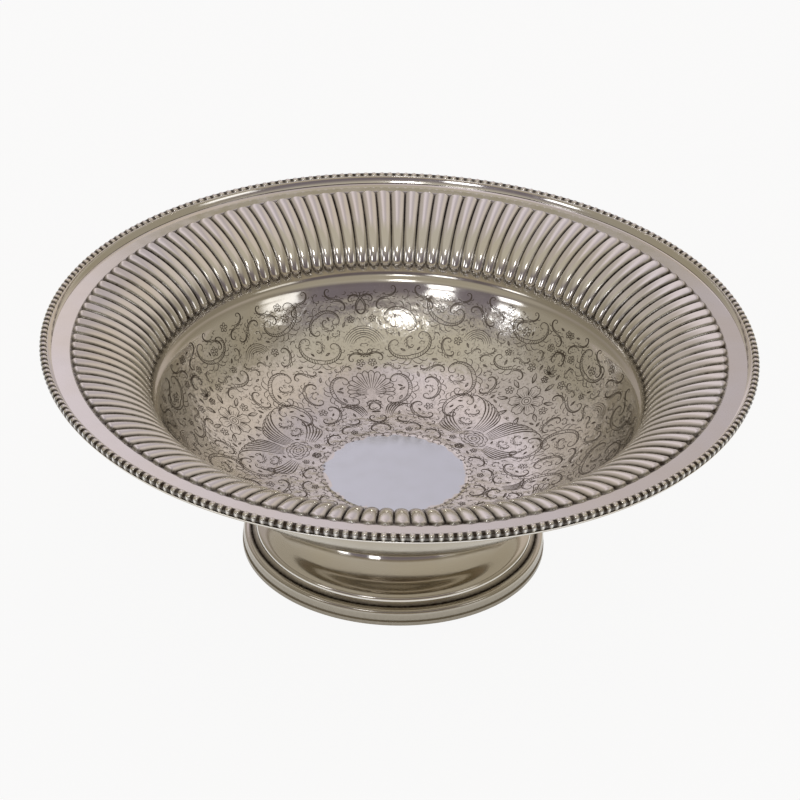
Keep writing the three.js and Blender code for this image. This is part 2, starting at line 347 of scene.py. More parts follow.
def grow(piece, tree, values):
    """Runs a geometry tree on a piece and keeps the result as the piece's plain mesh."""
    modifier = piece.modifiers.new(tree.name, "NODES")
    modifier.node_group = tree
    for socket in tree.interface.items_tree:
        if socket.in_out == "INPUT" and socket.name in values:
            modifier[socket.identifier] = values[socket.name]
    graph = bpy.context.evaluated_depsgraph_get()
    mesh = bpy.data.meshes.new_from_object(piece.evaluated_get(graph), depsgraph=graph)
    piece.modifiers.remove(modifier)
    piece.data = mesh
    if not mesh.polygons:
        raise RuntimeError(f"{piece.name} came out empty")


# Meshes

# Angle over which a corner stays sharp, and steps round plain rings and round the foot
SHARP_CORNER = math.radians(32)
PLAIN_STEPS = 256
FOOT_STEPS = 192


def new_piece(name, points, faces, values=None):
    """A mesh object at the origin, with float or vector attributes on its points."""
    mesh = bpy.data.meshes.new(name)
    mesh.from_pydata(points, [], faces)
    for label, data in (values or {}).items():
        data = np.asarray(data, np.float32)
        is_vector = data.ndim == 2
        made = mesh.attributes.new(label, "FLOAT_VECTOR" if is_vector else "FLOAT", "POINT")
        made.data.foreach_set("vector" if is_vector else "value", data.ravel())
    mesh.validate()
    piece = bpy.data.objects.new(name, mesh)
    bpy.context.scene.collection.objects.link(piece)
    return piece


def dress(piece, material):
    """Smooth shading with crisp corners, and one material."""
    piece.data.shade_smooth()
    piece.data.set_sharp_from_angle(angle=SHARP_CORNER)
    piece.data.materials.clear()
    piece.data.materials.append(material)


def settle(piece, slot, *nodes):
    """Puts a finished piece on the dish's one body, in place of its CAD nodes."""
    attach(piece, "root")
    if nodes:
        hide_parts(*nodes)


def bezier(controls, places):
    """Points and unit tangents of a Bezier curve of any degree."""
    controls = np.asarray(controls, float)
    degree = len(controls) - 1
    t = np.asarray(places, float)[:, None]
    basis = [math.comb(degree, k) * t**k * (1 - t) ** (degree - k) for k in range(degree + 1)]
    points = sum(b * c for b, c in zip(basis, controls))
    slopes = [math.comb(degree - 1, k) * t**k * (1 - t) ** (degree - 1 - k) for k in range(degree)]
    tangents = sum(b * d for b, d in zip(slopes, np.diff(controls, axis=0)))
    return points, tangents / np.linalg.norm(tangents, axis=1)[:, None]


def left_of(tangents):
    """Normals on the left of tangents: on a bowl's upper face these point up and inwards."""
    return np.stack([-tangents[:, 1], tangents[:, 0]], 1)


def stitch(faces, low, low_count, high, high_count):
    """Triangles or quads between two rings with evenly matched counts, either of which may be a pole."""
    if low_count == high_count:
        for i in range(low_count):
            j = (i + 1) % low_count
            faces.append((low + i, high + i, high + j, low + j))
        return
    few, many = min(low_count, high_count), max(low_count, high_count)
    fan = many // few
    coarse, fine = (low, high) if low_count < high_count else (high, low)
    flip = low_count > high_count
    for i in range(few):
        corner = coarse + i
        following = coarse + (i + 1) % few
        for k in range(fan):
            a = fine + (i * fan + k) % many
            b = fine + (i * fan + k + 1) % many
            owner = corner if 2 * k < fan or few == 1 else following
            faces.append((owner, b, a) if flip else (owner, a, b))
            if few > 1 and 2 * k < fan <= 2 * k + 2:
                faces.append((corner, following, b) if flip else (corner, b, following))


def turned(name, section, tarnish_and_shade, film_and_shade, steps):
    """A solid turned from a closed half section, listed clockwise, with the tarnish_and_shade and
    film_and_shade that darken it.
    """
    section = np.asarray(section, float)
    turn = np.arange(steps) * 2 * math.pi / steps
    x = np.outer(section[:, 0], np.cos(turn))
    y = np.outer(section[:, 0], np.sin(turn))
    z = np.repeat(section[:, 1:2], steps, axis=1)
    points = np.stack([x, y, z], 2).reshape(-1, 3)
    faces = []
    for k in range(len(section)):
        stitch(faces, k * steps, steps, (k + 1) % len(section) * steps, steps)
    values = {"tarnish_and_shade": np.repeat(tarnish_and_shade, steps), "film_and_shade": np.repeat(film_and_shade, steps)}
    return new_piece(name, points, faces, values)


def around(pair, turn):
    """A point or a normal of a section, carried round the Z axis."""
    x, z = pair
    return np.stack([x * np.cos(turn), x * np.sin(turn), np.full(len(turn), z)], 1)


# Places and sections

# The slopes that make the swell of the well, at distances from the axis in millimetres
SWELL_PLACES = (30.0, 43.5, 50.0, 72.0, 95.0)
SWELL_SLOPES = (0.0, 0.06, 0.0, -0.027, 0.0)
SWELL_STEPS = 400

# Radius of the floor's first ring, and stations along each stretch of the sections
FLOOR_START = 6 * MM
FLOOR_STATIONS = 13
WELL_STATIONS = 37
RING_STATIONS = 9
TIP_STATIONS = 6
SHAFT_STATIONS = 15
HEAD_STATIONS = 9
WAIST_STATIONS = 33
SHOULDER_STATIONS = 17


class Places:
    """Radii and heights that follow from the sizes."""

    def __init__(self, sizes):
        self.rim = sizes.rim_diameter / 2
        self.bead_circle = self.rim - sizes.bead_diameter / 2
        self.bead_z = sizes.height - sizes.bead_diameter / 2
        self.ledge_z = sizes.height - sizes.bead_diameter + sizes.bead_sink
        self.lip_z = sizes.height - sizes.lip_drop
        self.flange_z = self.ledge_z - sizes.ledge_thickness
        self.wire_outer = self.rim - sizes.edge_inset
        self.sheet_edge = self.wire_outer - sizes.sheet_edge_inset
        self.lip_outer = self.wire_outer - sizes.ledge_width
        self.lip_inner = self.lip_outer - sizes.lip_width
        self.flange_outer = self.lip_inner - sizes.cavetto_width
        self.border_outer = self.flange_outer - sizes.flange_width
        self.border_inner = self.border_outer - sizes.border_width
        self.heel_z = self.flange_z - sizes.border_drop
        self.ring_inner = self.border_inner - sizes.ring_width
        self.ring_z = self.heel_z - sizes.ring_drop
        self.foot_top_z = FOOT_BOX[1].z
        self.floor_z = self.foot_top_z + sizes.sheet
        self.floor_radius = sizes.floor_radius
        reach = self.ring_inner - self.floor_radius
        depth = self.ring_z - self.floor_z
        self.well_radius = (reach**2 + depth**2) / (2 * depth)
        self.well_end = 2 * math.atan2(depth, reach)
        self.skirt = sizes.skirt_diameter / 2
        self.base = sizes.base_diameter / 2
        self.base_inner = self.skirt + sizes.seam
        self.swell_radii = np.linspace(0, self.ring_inner, SWELL_STEPS)
        slopes = np.interp(self.swell_radii / MM, SWELL_PLACES, SWELL_SLOPES)
        self.swell_rise = np.cumsum(slopes) * self.swell_radii[1]

    def swell(self, radius):
        """How far the upper face of the floor and the wall rises over the plain section."""
        return np.interp(radius, self.swell_radii, self.swell_rise, right=0.0)

    def well(self, along):
        """Radius, height and normal on the well at distances from its centre along the surface."""
        turn = np.maximum(np.asarray(along, float) - self.floor_radius, 0) / self.well_radius
        flat = np.minimum(along, self.floor_radius)
        radius = flat + self.well_radius * np.sin(turn)
        height = self.floor_z + self.well_radius * (1 - np.cos(turn))
        return radius, height, np.stack([-np.sin(turn), np.cos(turn)], 1)


def bowl_face(sizes, place):
    """Stations on the bowl's upper face from the floor to the flange: points, normals and border places."""
    border = [
        (place.border_inner, place.heel_z),
        (place.border_inner + sizes.heel_reach, place.heel_z + sizes.heel_height),
        (place.border_outer - sizes.lip_reach, place.flange_z - sizes.lip_fall),
        (place.border_outer, place.flange_z),
    ]
    end = np.array([math.cos(place.well_end), math.sin(place.well_end)])
    start = bezier(border, [0])[1][0]
    ring_foot = np.array([place.ring_inner, place.ring_z])
    ring_head = np.array([place.border_inner, place.heel_z])
    fullness = sizes.ring_fullness
    ring = [ring_foot, ring_foot + end * fullness, ring_head - start * fullness, ring_head]
    along = np.concatenate([
        np.linspace(FLOOR_START, place.floor_radius, FLOOR_STATIONS)[:-1],
        place.floor_radius + place.well_radius * np.linspace(0, place.well_end, WELL_STATIONS),
    ])
    radius, height, normals = place.well(along)
    pieces = [(np.stack([radius, height], 1), normals, np.full(len(along), -1.0))]
    tips = np.linspace(0, sizes.flute_tip, TIP_STATIONS)
    shafts = np.linspace(sizes.flute_tip, sizes.flute_head, SHAFT_STATIONS)
    rounding = np.sin(np.linspace(0, math.pi / 2, HEAD_STATIONS))
    heads = sizes.flute_head + (1 - sizes.flute_head) * rounding
    runs = np.concatenate([tips, shafts[1:], heads[1:]])
    for controls, places in ((ring, np.linspace(0, 1, RING_STATIONS)[1:-1]), (border, runs)):
        points, tangents = bezier(controls, places)
        is_border = controls is border
        pieces.append((points, left_of(tangents), places if is_border else np.full(len(places), -1.0)))
    return [np.concatenate(columns) for columns in zip(*pieces)]


def foot_face(sizes, place):
    """Points and normals down the outer face of the foot, from the bowl to the skirt."""
    scotia_end = np.array([sizes.scotia_diameter / 2, sizes.scotia_height])
    ogee_end = np.array([sizes.ogee_diameter / 2, sizes.ogee_height])
    slope = (ogee_end - scotia_end) / np.linalg.norm(ogee_end - scotia_end)
    top = np.array([sizes.foot_top_diameter / 2, place.foot_top_z])
    waist = [
        top,
        top - (sizes.waist_reach, sizes.waist_fall),
        scotia_end - slope * sizes.scotia_fullness,
        scotia_end,
    ]
    ogee = [
        scotia_end,
        scotia_end + slope * sizes.ogee_fullness,
        ogee_end + (0, sizes.ogee_fullness),
        ogee_end,
    ]
    first, first_way = bezier(waist, np.linspace(0, 1, WAIST_STATIONS))
    second, second_way = bezier(ogee, np.linspace(0, 1, SHOULDER_STATIONS)[1:])
    points = np.concatenate([first, second])
    return points, left_of(np.concatenate([first_way, second_way]))


# Finishes

# Noises of the silver, in waves to the metre
CLOUD_SCALE = 26.0
WIPE_SCALE = 140.0
MOTTLE_SCALE = 700.0
CENTRE_SCALE = 190.0
SPECK_SCALE = 900.0
MARK_SCALE = 1800.0
WAVE_SCALE = 38.0
DENT_SCALE = 110.0
RELIEF_SCALE = 300.0

# Values of the noises between which the silver changes
CLOUD_RANGE = (0.35, 0.7)
WIPE_RANGE = (0.3, 0.75)
SPECK_RANGE = (0.52, 0.72)
PATCH_RANGE = (0.2, 0.8)

# Strength and depth of the bumps
WAVE_BUMP = (0.3, 0.16 * MM)
DENT_BUMP = (0.8, 0.5 * MM)
RELIEF_BUMP = (0.8, 0.2 * MM)
PATCH_BUMP = (0.3, 0.05 * MM)
MARK_DEPTH = 0.004 * MM

# What the tarnish_and_shade marks, the film_and_shade and chasing add to the roughness
TARNISH_AND_SHADE_DULLNESS = 0.25
FILM_AND_SHADE_DULLNESS = 0.08
CHASED_DULLNESS = 0.07

# Where the plain centre ends past the ground's inner radius, before a noise of up to the wander is taken off
CENTRE_EDGE = (2.6 * MM, 3.4 * MM)
CENTRE_WANDER = 7.0 * MM

# Parts of the ground's inner and outer radius at which it is fully chased, and how dark its specks are
GROUND_START = 1.06
GROUND_END = 0.96
SPECK_DARKNESS = 0.3

# Roughness at the ends of a noise as parts of the finish's own, and how much of its noise a mottle shows
WIPED_ROUGHNESS = (0.7, 1.5)
PATCH_ROUGHNESS = (0.8, 1.2)
MOTTLE_SHARE = 0.5
MOTTLE_LEAST = 0.72


def silver_finish(name, colours, shine, spun=0.25, shade_tone=0.0, chased=None):
    """Polished silver: cloudy tint, wiped shine, fine turning marks, and dark where marked.

    The dark is tarnishing in valleys and joints, and painted shade in bead gaps, flute valleys and on the
    base.
    A dark toned film lies where that is marked: toning on the plain ring, painted shade on the underside,
    foot, base and lower beads. The ground between two radii may be chased, and the plain centre inside it
    gets a cool tint, a painted reflection. A shade_tone darkens the whole piece towards the film colour as
    painted shade.
    """
    material, tree, shader = new_material(name, 1.0)
    place = add(tree, "ShaderNodeTexCoord").outputs["Object"]
    axes = axes_of(tree, place)
    across = from_axis(tree, axes)
    shade_film = add(tree, "ShaderNodeAttribute", attribute_name="film_and_shade").outputs["Fac"]
    marked = add(tree, "ShaderNodeAttribute", attribute_name="tarnish_and_shade").outputs["Fac"]
    film_and_shade = Vector(colours.toned_and_shaded_silver)
    # shade_tone darkens the whole piece towards the film colour, as painted shade
    clean = Vector(colours.silver).lerp(film_and_shade, shade_tone)
    warm = Vector(colours.warm_silver).lerp(film_and_shade, shade_tone)
    cloud = noise(tree, place, CLOUD_SCALE, 3.0)
    metal = mixed(tree, rising(tree, cloud, *CLOUD_RANGE), clean, warm)
    wiped = noise(tree, place, WIPE_SCALE, 4.0)
    polish = mapped(tree, wiped, *WIPE_RANGE, *(shine * part for part in WIPED_ROUGHNESS))
    line = calc(tree, "ADD", across, axes[2])
    marks = add(tree, "ShaderNodeTexNoise", {"W": line, "Scale": MARK_SCALE, "Detail": 2.0},
                noise_dimensions="1D").outputs["Fac"]
    grain = bumped(tree, marks, spun, MARK_DEPTH)
    normal = bumped(tree, noise(tree, place, WAVE_SCALE, 1.0), *WAVE_BUMP, grain)
    if chased:
        inner, outer = chased
        edge = calc(tree, "MULTIPLY_ADD", noise(tree, place, CENTRE_SCALE, 2.0), CENTRE_WANDER, across)
        plain = falling(tree, edge, inner + CENTRE_EDGE[0], inner + CENTRE_EDGE[1])
        # painted reflection: the plain centre is tinted cool as if it showed a cool surround
        metal = mixed(tree, plain, metal, colours.cool_reflection_silver)
        ground = calc(tree, "MULTIPLY", rising(tree, across, inner, inner * GROUND_START),
                      falling(tree, across, outer * GROUND_END, outer))
        face = calc(tree, "SUBTRACT", ground, shade_film, clamp=True)
        specks = mapped(tree, noise(tree, place, SPECK_SCALE, 3.0), *SPECK_RANGE, 0.0, SPECK_DARKNESS)
        marked = calc(tree, "MAXIMUM", marked, calc(tree, "MULTIPLY", face, specks))
        polish = calc(tree, "MULTIPLY_ADD", face, CHASED_DULLNESS, polish)
        dents = calc(tree, "MULTIPLY", noise(tree, place, DENT_SCALE, 2.0), face)
        normal = bumped(tree, dents, *DENT_BUMP, normal)
        relief = calc(tree, "MULTIPLY", noise(tree, place, RELIEF_SCALE, 4.0), face)
        normal = bumped(tree, relief, *RELIEF_BUMP, normal)
    # the film darkens the silver: toning on the plain ring, painted shade where the shadowed table would be
    # seen
    metal = mixed(tree, shade_film, metal, film_and_shade)
    mottle = noise(tree, place, MOTTLE_SCALE, 2.0)
    uneven = calc(tree, "MULTIPLY_ADD", mottle, MOTTLE_SHARE, MOTTLE_LEAST)
    dark = calc(tree, "MULTIPLY", marked, uneven, clamp=True)
    dull = calc(tree, "MULTIPLY_ADD", shade_film, FILM_AND_SHADE_DULLNESS, polish)
    dull = calc(tree, "MULTIPLY_ADD", dark, TARNISH_AND_SHADE_DULLNESS, dull)
    tree.links.new(mixed(tree, dark, metal, colours.tarnish_and_shade), shader.inputs["Base Color"])
    tree.links.new(dull, shader.inputs["Roughness"])
    tree.links.new(normal, shader.inputs["Normal"])
    return material


def plain_finish(name, tone, metallic, rough, scale, change):
    """A dull finish whose tone and roughness change a little from place to place."""
    material, tree, shader = new_material(name, metallic)
    place = add(tree, "ShaderNodeTexCoord").outputs["Object"]
    patches = noise(tree, place, scale, 3.0)
    light = [min(1.0, c * (1 + change)) for c in tone]
    deep = [c * (1 - change) for c in tone]
    dull = mapped(tree, patches, *PATCH_RANGE, *(rough * part for part in PATCH_ROUGHNESS))
    tree.links.new(mixed(tree, patches, deep, light), shader.inputs["Base Color"])
    tree.links.new(dull, shader.inputs["Roughness"])
    tree.links.new(bumped(tree, patches, *PATCH_BUMP), shader.inputs["Normal"])
    return material


# Bowl

Ring = namedtuple("Ring", "point normal run back turns")

# Where points lie across a flute from valley to valley, and the angle over which its corner stays sharp
FLUTE_PHASES = (0.0, 0.045, 0.12, 0.22, 0.35, 0.5, 0.65, 0.78, 0.88, 0.955)
FLUTE_CORNER = math.radians(62)

# How far past the flutes the flange's first ring lies, and the inner radius of the chased ground
BRINK = 0.3 * MM
CENTRE_RADIUS = 30.5 * MM

# Film on the plain ring, the width over which it grows inside, and the width over which it fades outside
RING_FILM = 0.5
RING_FILM_GROWTH = 2 * MM
RING_FILM_FADE = 3 * MM

# Sines of the bearing between which the painted shade in the valleys narrows toward the back and toward the
# front, and the front's share of that narrowing; it is widest at the sides, where the valleys are seen across
BACK_NARROW_SHADE = (0.5, 0.9)
FRONT_NARROW_SHADE = (-0.9, -0.5)
FRONT_SHARE = 0.4

# Heights in a flute, from 0 in the valley to 1 on the crown, where the dark of tarnish and painted shade
# starts to fade and is gone, where it is widest and where it is narrowest
WIDE_VALLEY_SHADE = (0.54, 0.84)
NARROW_VALLEY_SHADE = (0.24, 0.76)

# Stretch of a flute along which the valleys, where their painted shade is narrowed, grow to full dark, and
# how dark they start
SHADE_GROWTH_RUN = (0.1, 0.55)
SHADE_GROWTH_START = 0.5

# How near a round end the dark in the valleys starts to fade, and what is left of it at the end
END_FADE = 0.75
END_DARKNESS = 0.45

# Noise that makes the valleys' tarnish and painted shade patchy, its range, and the least that it leaves
VALLEY_PATCH_SCALE = 130.0
VALLEY_PATCH_RANGE = (0.35, 0.6)
VALLEY_PATCH_LEAST = 0.75


def bowl_rings(sizes, place):
    """Rings of the bowl from the centre of its upper face to the edge and back underneath.

    A ring off the border has a run of -1. Its back is 0 on the upper face and 1 underneath.
    """
    points, normals, runs = bowl_face(sizes, place)
    deep = points - normals * sizes.sheet
    points = points + np.stack([np.zeros(len(points)), place.swell(points[:, 0])], 1)
    thin = np.ones(len(runs), bool)
    thin[1::2] = runs[1::2] < 0
    fluted = [(i + phase) / sizes.flute_count for i in range(sizes.flute_count) for phase in FLUTE_PHASES]
    plain = [i / PLAIN_STEPS for i in range(PLAIN_STEPS)]
    up = np.array([0.0, 1.0])
    edges = (place.border_outer + BRINK, place.flange_outer, place.sheet_edge)
    under_z = place.flange_z - sizes.sheet
    face = [Ring(p, n, t, 0.0, plain if t < 0 else fluted) for p, n, t in zip(points, normals, runs)]
    hidden = zip(deep[thin], normals[thin], runs[thin])
    back = [Ring(p, n, t, 1.0, plain if t < 0 else fluted) for p, n, t in hidden]
    return [
        Ring((0.0, place.floor_z), up, -1.0, 0.0, [0.0]),
        *face,
        *(Ring((radius, place.flange_z), up, -1.0, 0.0, plain) for radius in edges),
        *(Ring((radius, under_z), up, -1.0, 1.0, plain) for radius in reversed(edges)),
        *reversed(back),
        Ring((0.0, place.foot_top_z), up, -1.0, 1.0, [0.0]),
    ]


def bowl_blank(sizes, place):
    """The bowl before its flutes are chased, with the sheet's normal and the border place at each point."""
    rings = bowl_rings(sizes, place)
    counts = [len(ring.turns) for ring in rings]
    turns = [2 * math.pi * np.array(ring.turns) for ring in rings]
    where = np.concatenate([around(ring.point, turn) for ring, turn in zip(rings, turns)])
    sheet_normal = np.concatenate([around(ring.normal, turn) for ring, turn in zip(rings, turns)])
    reverse = np.repeat([ring.back for ring in rings], counts)
    faces = []
    start = 0
    for count, next_count in zip(counts, counts[1:]):
        stitch(faces, start, count, start + count, next_count)
        start += count
    film_radii = (
        place.ring_inner,
        place.ring_inner + RING_FILM_GROWTH,
        place.border_inner,
        place.border_inner + RING_FILM_FADE,
    )
    film_and_shade = np.interp(np.hypot(where[:, 0], where[:, 1]), film_radii, (0.0, RING_FILM, RING_FILM, 0.0))
    values = {
        "sheet_normal": sheet_normal,
        "flute_run": np.repeat([ring.run for ring in rings], counts),
        "flute_back": reverse,
        # the whole underside takes the full film as painted shade, where the shadowed table would be seen in
        # it
        "film_and_shade": np.maximum(film_and_shade, reverse),
    }
    return new_piece("chased_bowl", where, faces, values)


def flute_tree(material):
    """Chases round-headed flutes into the border and darkens the valleys: tarnishing and painted shade."""
    tree, given, output = geometry_tree("chase_flutes", {
        "Flutes": "NodeSocketInt",
        "Rise": "NodeSocketFloat",
        "Back Rise": "NodeSocketFloat",
        "Sink": "NodeSocketFloat",
        "Tip": "NodeSocketFloat",
        "Head": "NodeSocketFloat",
    })
    position = add(tree, "GeometryNodeInputPosition").outputs[0]
    axes = axes_of(tree, position)
    bearing = calc(tree, "ARCTAN2", axes[1], axes[0])
    turn = calc(tree, "DIVIDE", bearing, 2 * math.pi)
    # a hair is added so that a point in a valley never falls into the flute before it
    hair = 1e-4
    phase = calc(tree, "FRACT", calc(tree, "MULTIPLY_ADD", turn, given["Flutes"], hair))
    across = calc(tree, "MULTIPLY_ADD", phase, 2.0, -1.0)
    run = attribute(tree, "flute_run")
    head = mapped(tree, run, given["Head"], 1.0, 0.0, 1.0)
    tip = mapped(tree, run, 0.0, given["Tip"], 1.0, 0.0)
    end = calc(tree, "MAXIMUM", head, tip)
    left = calc(tree, "SUBTRACT", 1.0, calc(tree, "MULTIPLY", across, across))
    left = calc(tree, "SUBTRACT", left, calc(tree, "MULTIPLY", end, end))
    lobe = calc(tree, "SQRT", calc(tree, "MAXIMUM", left, 0.0))
    reverse = attribute(tree, "flute_back")
    rise = mapped(tree, reverse, 0.0, 1.0, given["Rise"], given["Back Rise"])
    crown = calc(tree, "MULTIPLY", lobe, calc(tree, "ADD", rise, given["Sink"]))
    valley = calc(tree, "MULTIPLY", given["Sink"], calc(tree, "SUBTRACT", 1.0, end))
    on_border = calc(tree, "GREATER_THAN", run, -0.5)
    lift = calc(tree, "MULTIPLY", calc(tree, "SUBTRACT", crown, valley), on_border)
    sheet_normal = attribute(tree, "sheet_normal", "FLOAT_VECTOR")
    offset = add(tree, "ShaderNodeVectorMath", {0: sheet_normal, 3: lift}, operation="SCALE").outputs[0]
    moved = add(tree, "GeometryNodeSetPosition", {"Geometry": given["Geometry"], "Offset": offset})
    # the dark in the valleys is painted shade as well as tarnish: narrower at the back and, less so, at the
    # front, and widest at the sides, where the valleys are seen across
    ahead = calc(tree, "SINE", bearing)
    front = mapped(tree, ahead, *FRONT_NARROW_SHADE, FRONT_SHARE, 0.0, True)
    narrowed = calc(tree, "MAXIMUM", rising(tree, ahead, *BACK_NARROW_SHADE), front)
    fade = [mapped(tree, narrowed, 0.0, 1.0, *ends) for ends in zip(WIDE_VALLEY_SHADE, NARROW_VALLEY_SHADE)]
    dark = falling(tree, lobe, *fade)
    dark = calc(tree, "MULTIPLY", dark, mapped(tree, end, END_FADE, 1.0, 1.0, END_DARKNESS))
    grown = mapped(tree, run, *SHADE_GROWTH_RUN, SHADE_GROWTH_START, 1.0)
    dark = calc(tree, "MULTIPLY", dark, mapped(tree, narrowed, 0.0, 1.0, 1.0, grown))
    patchy = noise(tree, position, VALLEY_PATCH_SCALE, 2.0)
    dark = calc(tree, "MULTIPLY", dark, mapped(tree, patchy, *VALLEY_PATCH_RANGE, VALLEY_PATCH_LEAST, 1.0))
    dark = calc(tree, "MULTIPLY", dark, calc(tree, "SUBTRACT", on_border, reverse, clamp=True))
    close_tree(tree, stored(tree, moved.outputs[0], "tarnish_and_shade", dark), material, output)
    return tree


# Engraving

# First and last distance from the centre along the surface, in millimetres, of lines and of the fill
WELL_FIRST = 30.0
WELL_LAST = 113.2
FILL_FIRST = 33
FILL_LAST = 112

# How far the dark strips of the lines lie over the face of the well
CUT_LIFT = 0.05 * MM

# Widths of lines as parts of a bold one, and how a width changes from the start to the end
FINE = 0.55
LINE = 0.78
BOLD = 1.0
TAPERS = {
    "both": lambda t: np.sin(np.pi * (0.03 + 0.94 * t)) ** 0.5,
    "end": lambda t: (1.04 - t) ** 0.5,
    "start": lambda t: (0.04 + t) ** 0.5,
    "none": np.ones_like,
    "curl": lambda t: 0.6 + 0.4 * np.sin(np.pi * t),
}

# Bends along a scroll, its lobes, a hook and its sprigs, for a size of 1
SCROLL_BENDS = np.array([0.5, 0.6, 1.0, 2.2, 6.0])
LOBE_BENDS = np.array([0.7, 2.1, 5.0])
HOOK_BENDS = np.array([0.25, 0.45, 1.2, 4.4])
SPRIG_BENDS = np.array([-0.3, 1.2, 3.0])

# Bends along the curled end of a feather and the curls at a shell's hinge
FEATHER_END_BENDS = np.array([0.35, 0.9, 3.0])
HINGE_BENDS = np.array([0.12, 0.3, 1.2])


def sweep(start, heading, size, bends, steps=16):
    """A line in millimetres whose bend, in radians for each millimetre, runs through the given values."""
    t = np.linspace(0, 1, steps)
    bend = np.interp(t, np.linspace(0, 1, len(bends)), bends)
    step = size / (steps - 1)
    turn = heading + np.concatenate([[0], np.cumsum((bend[1:] + bend[:-1]) / 2 * step)])
    along = (turn[1:] + turn[:-1]) / 2
    x = np.concatenate([[0], np.cumsum(np.cos(along) * step)])
    y = np.concatenate([[0], np.cumsum(np.sin(along) * step)])
    return np.stack([start[0] + x, start[1] + y], 1)


def ray(way, first, last, steps):
    """A straight line out from the origin."""
    reach = np.linspace(first, last, steps)
    return np.stack([reach * math.cos(way), reach * math.sin(way)], 1)


def polar(reach, way):
    """Points at distances and angles from the origin."""
    return np.stack([reach * np.cos(way), reach * np.sin(way)], 1)


def ways(line):
    """Headings along a line."""
    step = np.gradient(line, axis=0)
    return np.arctan2(step[:, 1], step[:, 0])


def beside(line, gaps):
    """A line that keeps the given gaps on the left of another."""
    way = ways(line)
    return line + np.stack([-np.sin(way), np.cos(way)], 1) * np.asarray(gaps)[:, None]


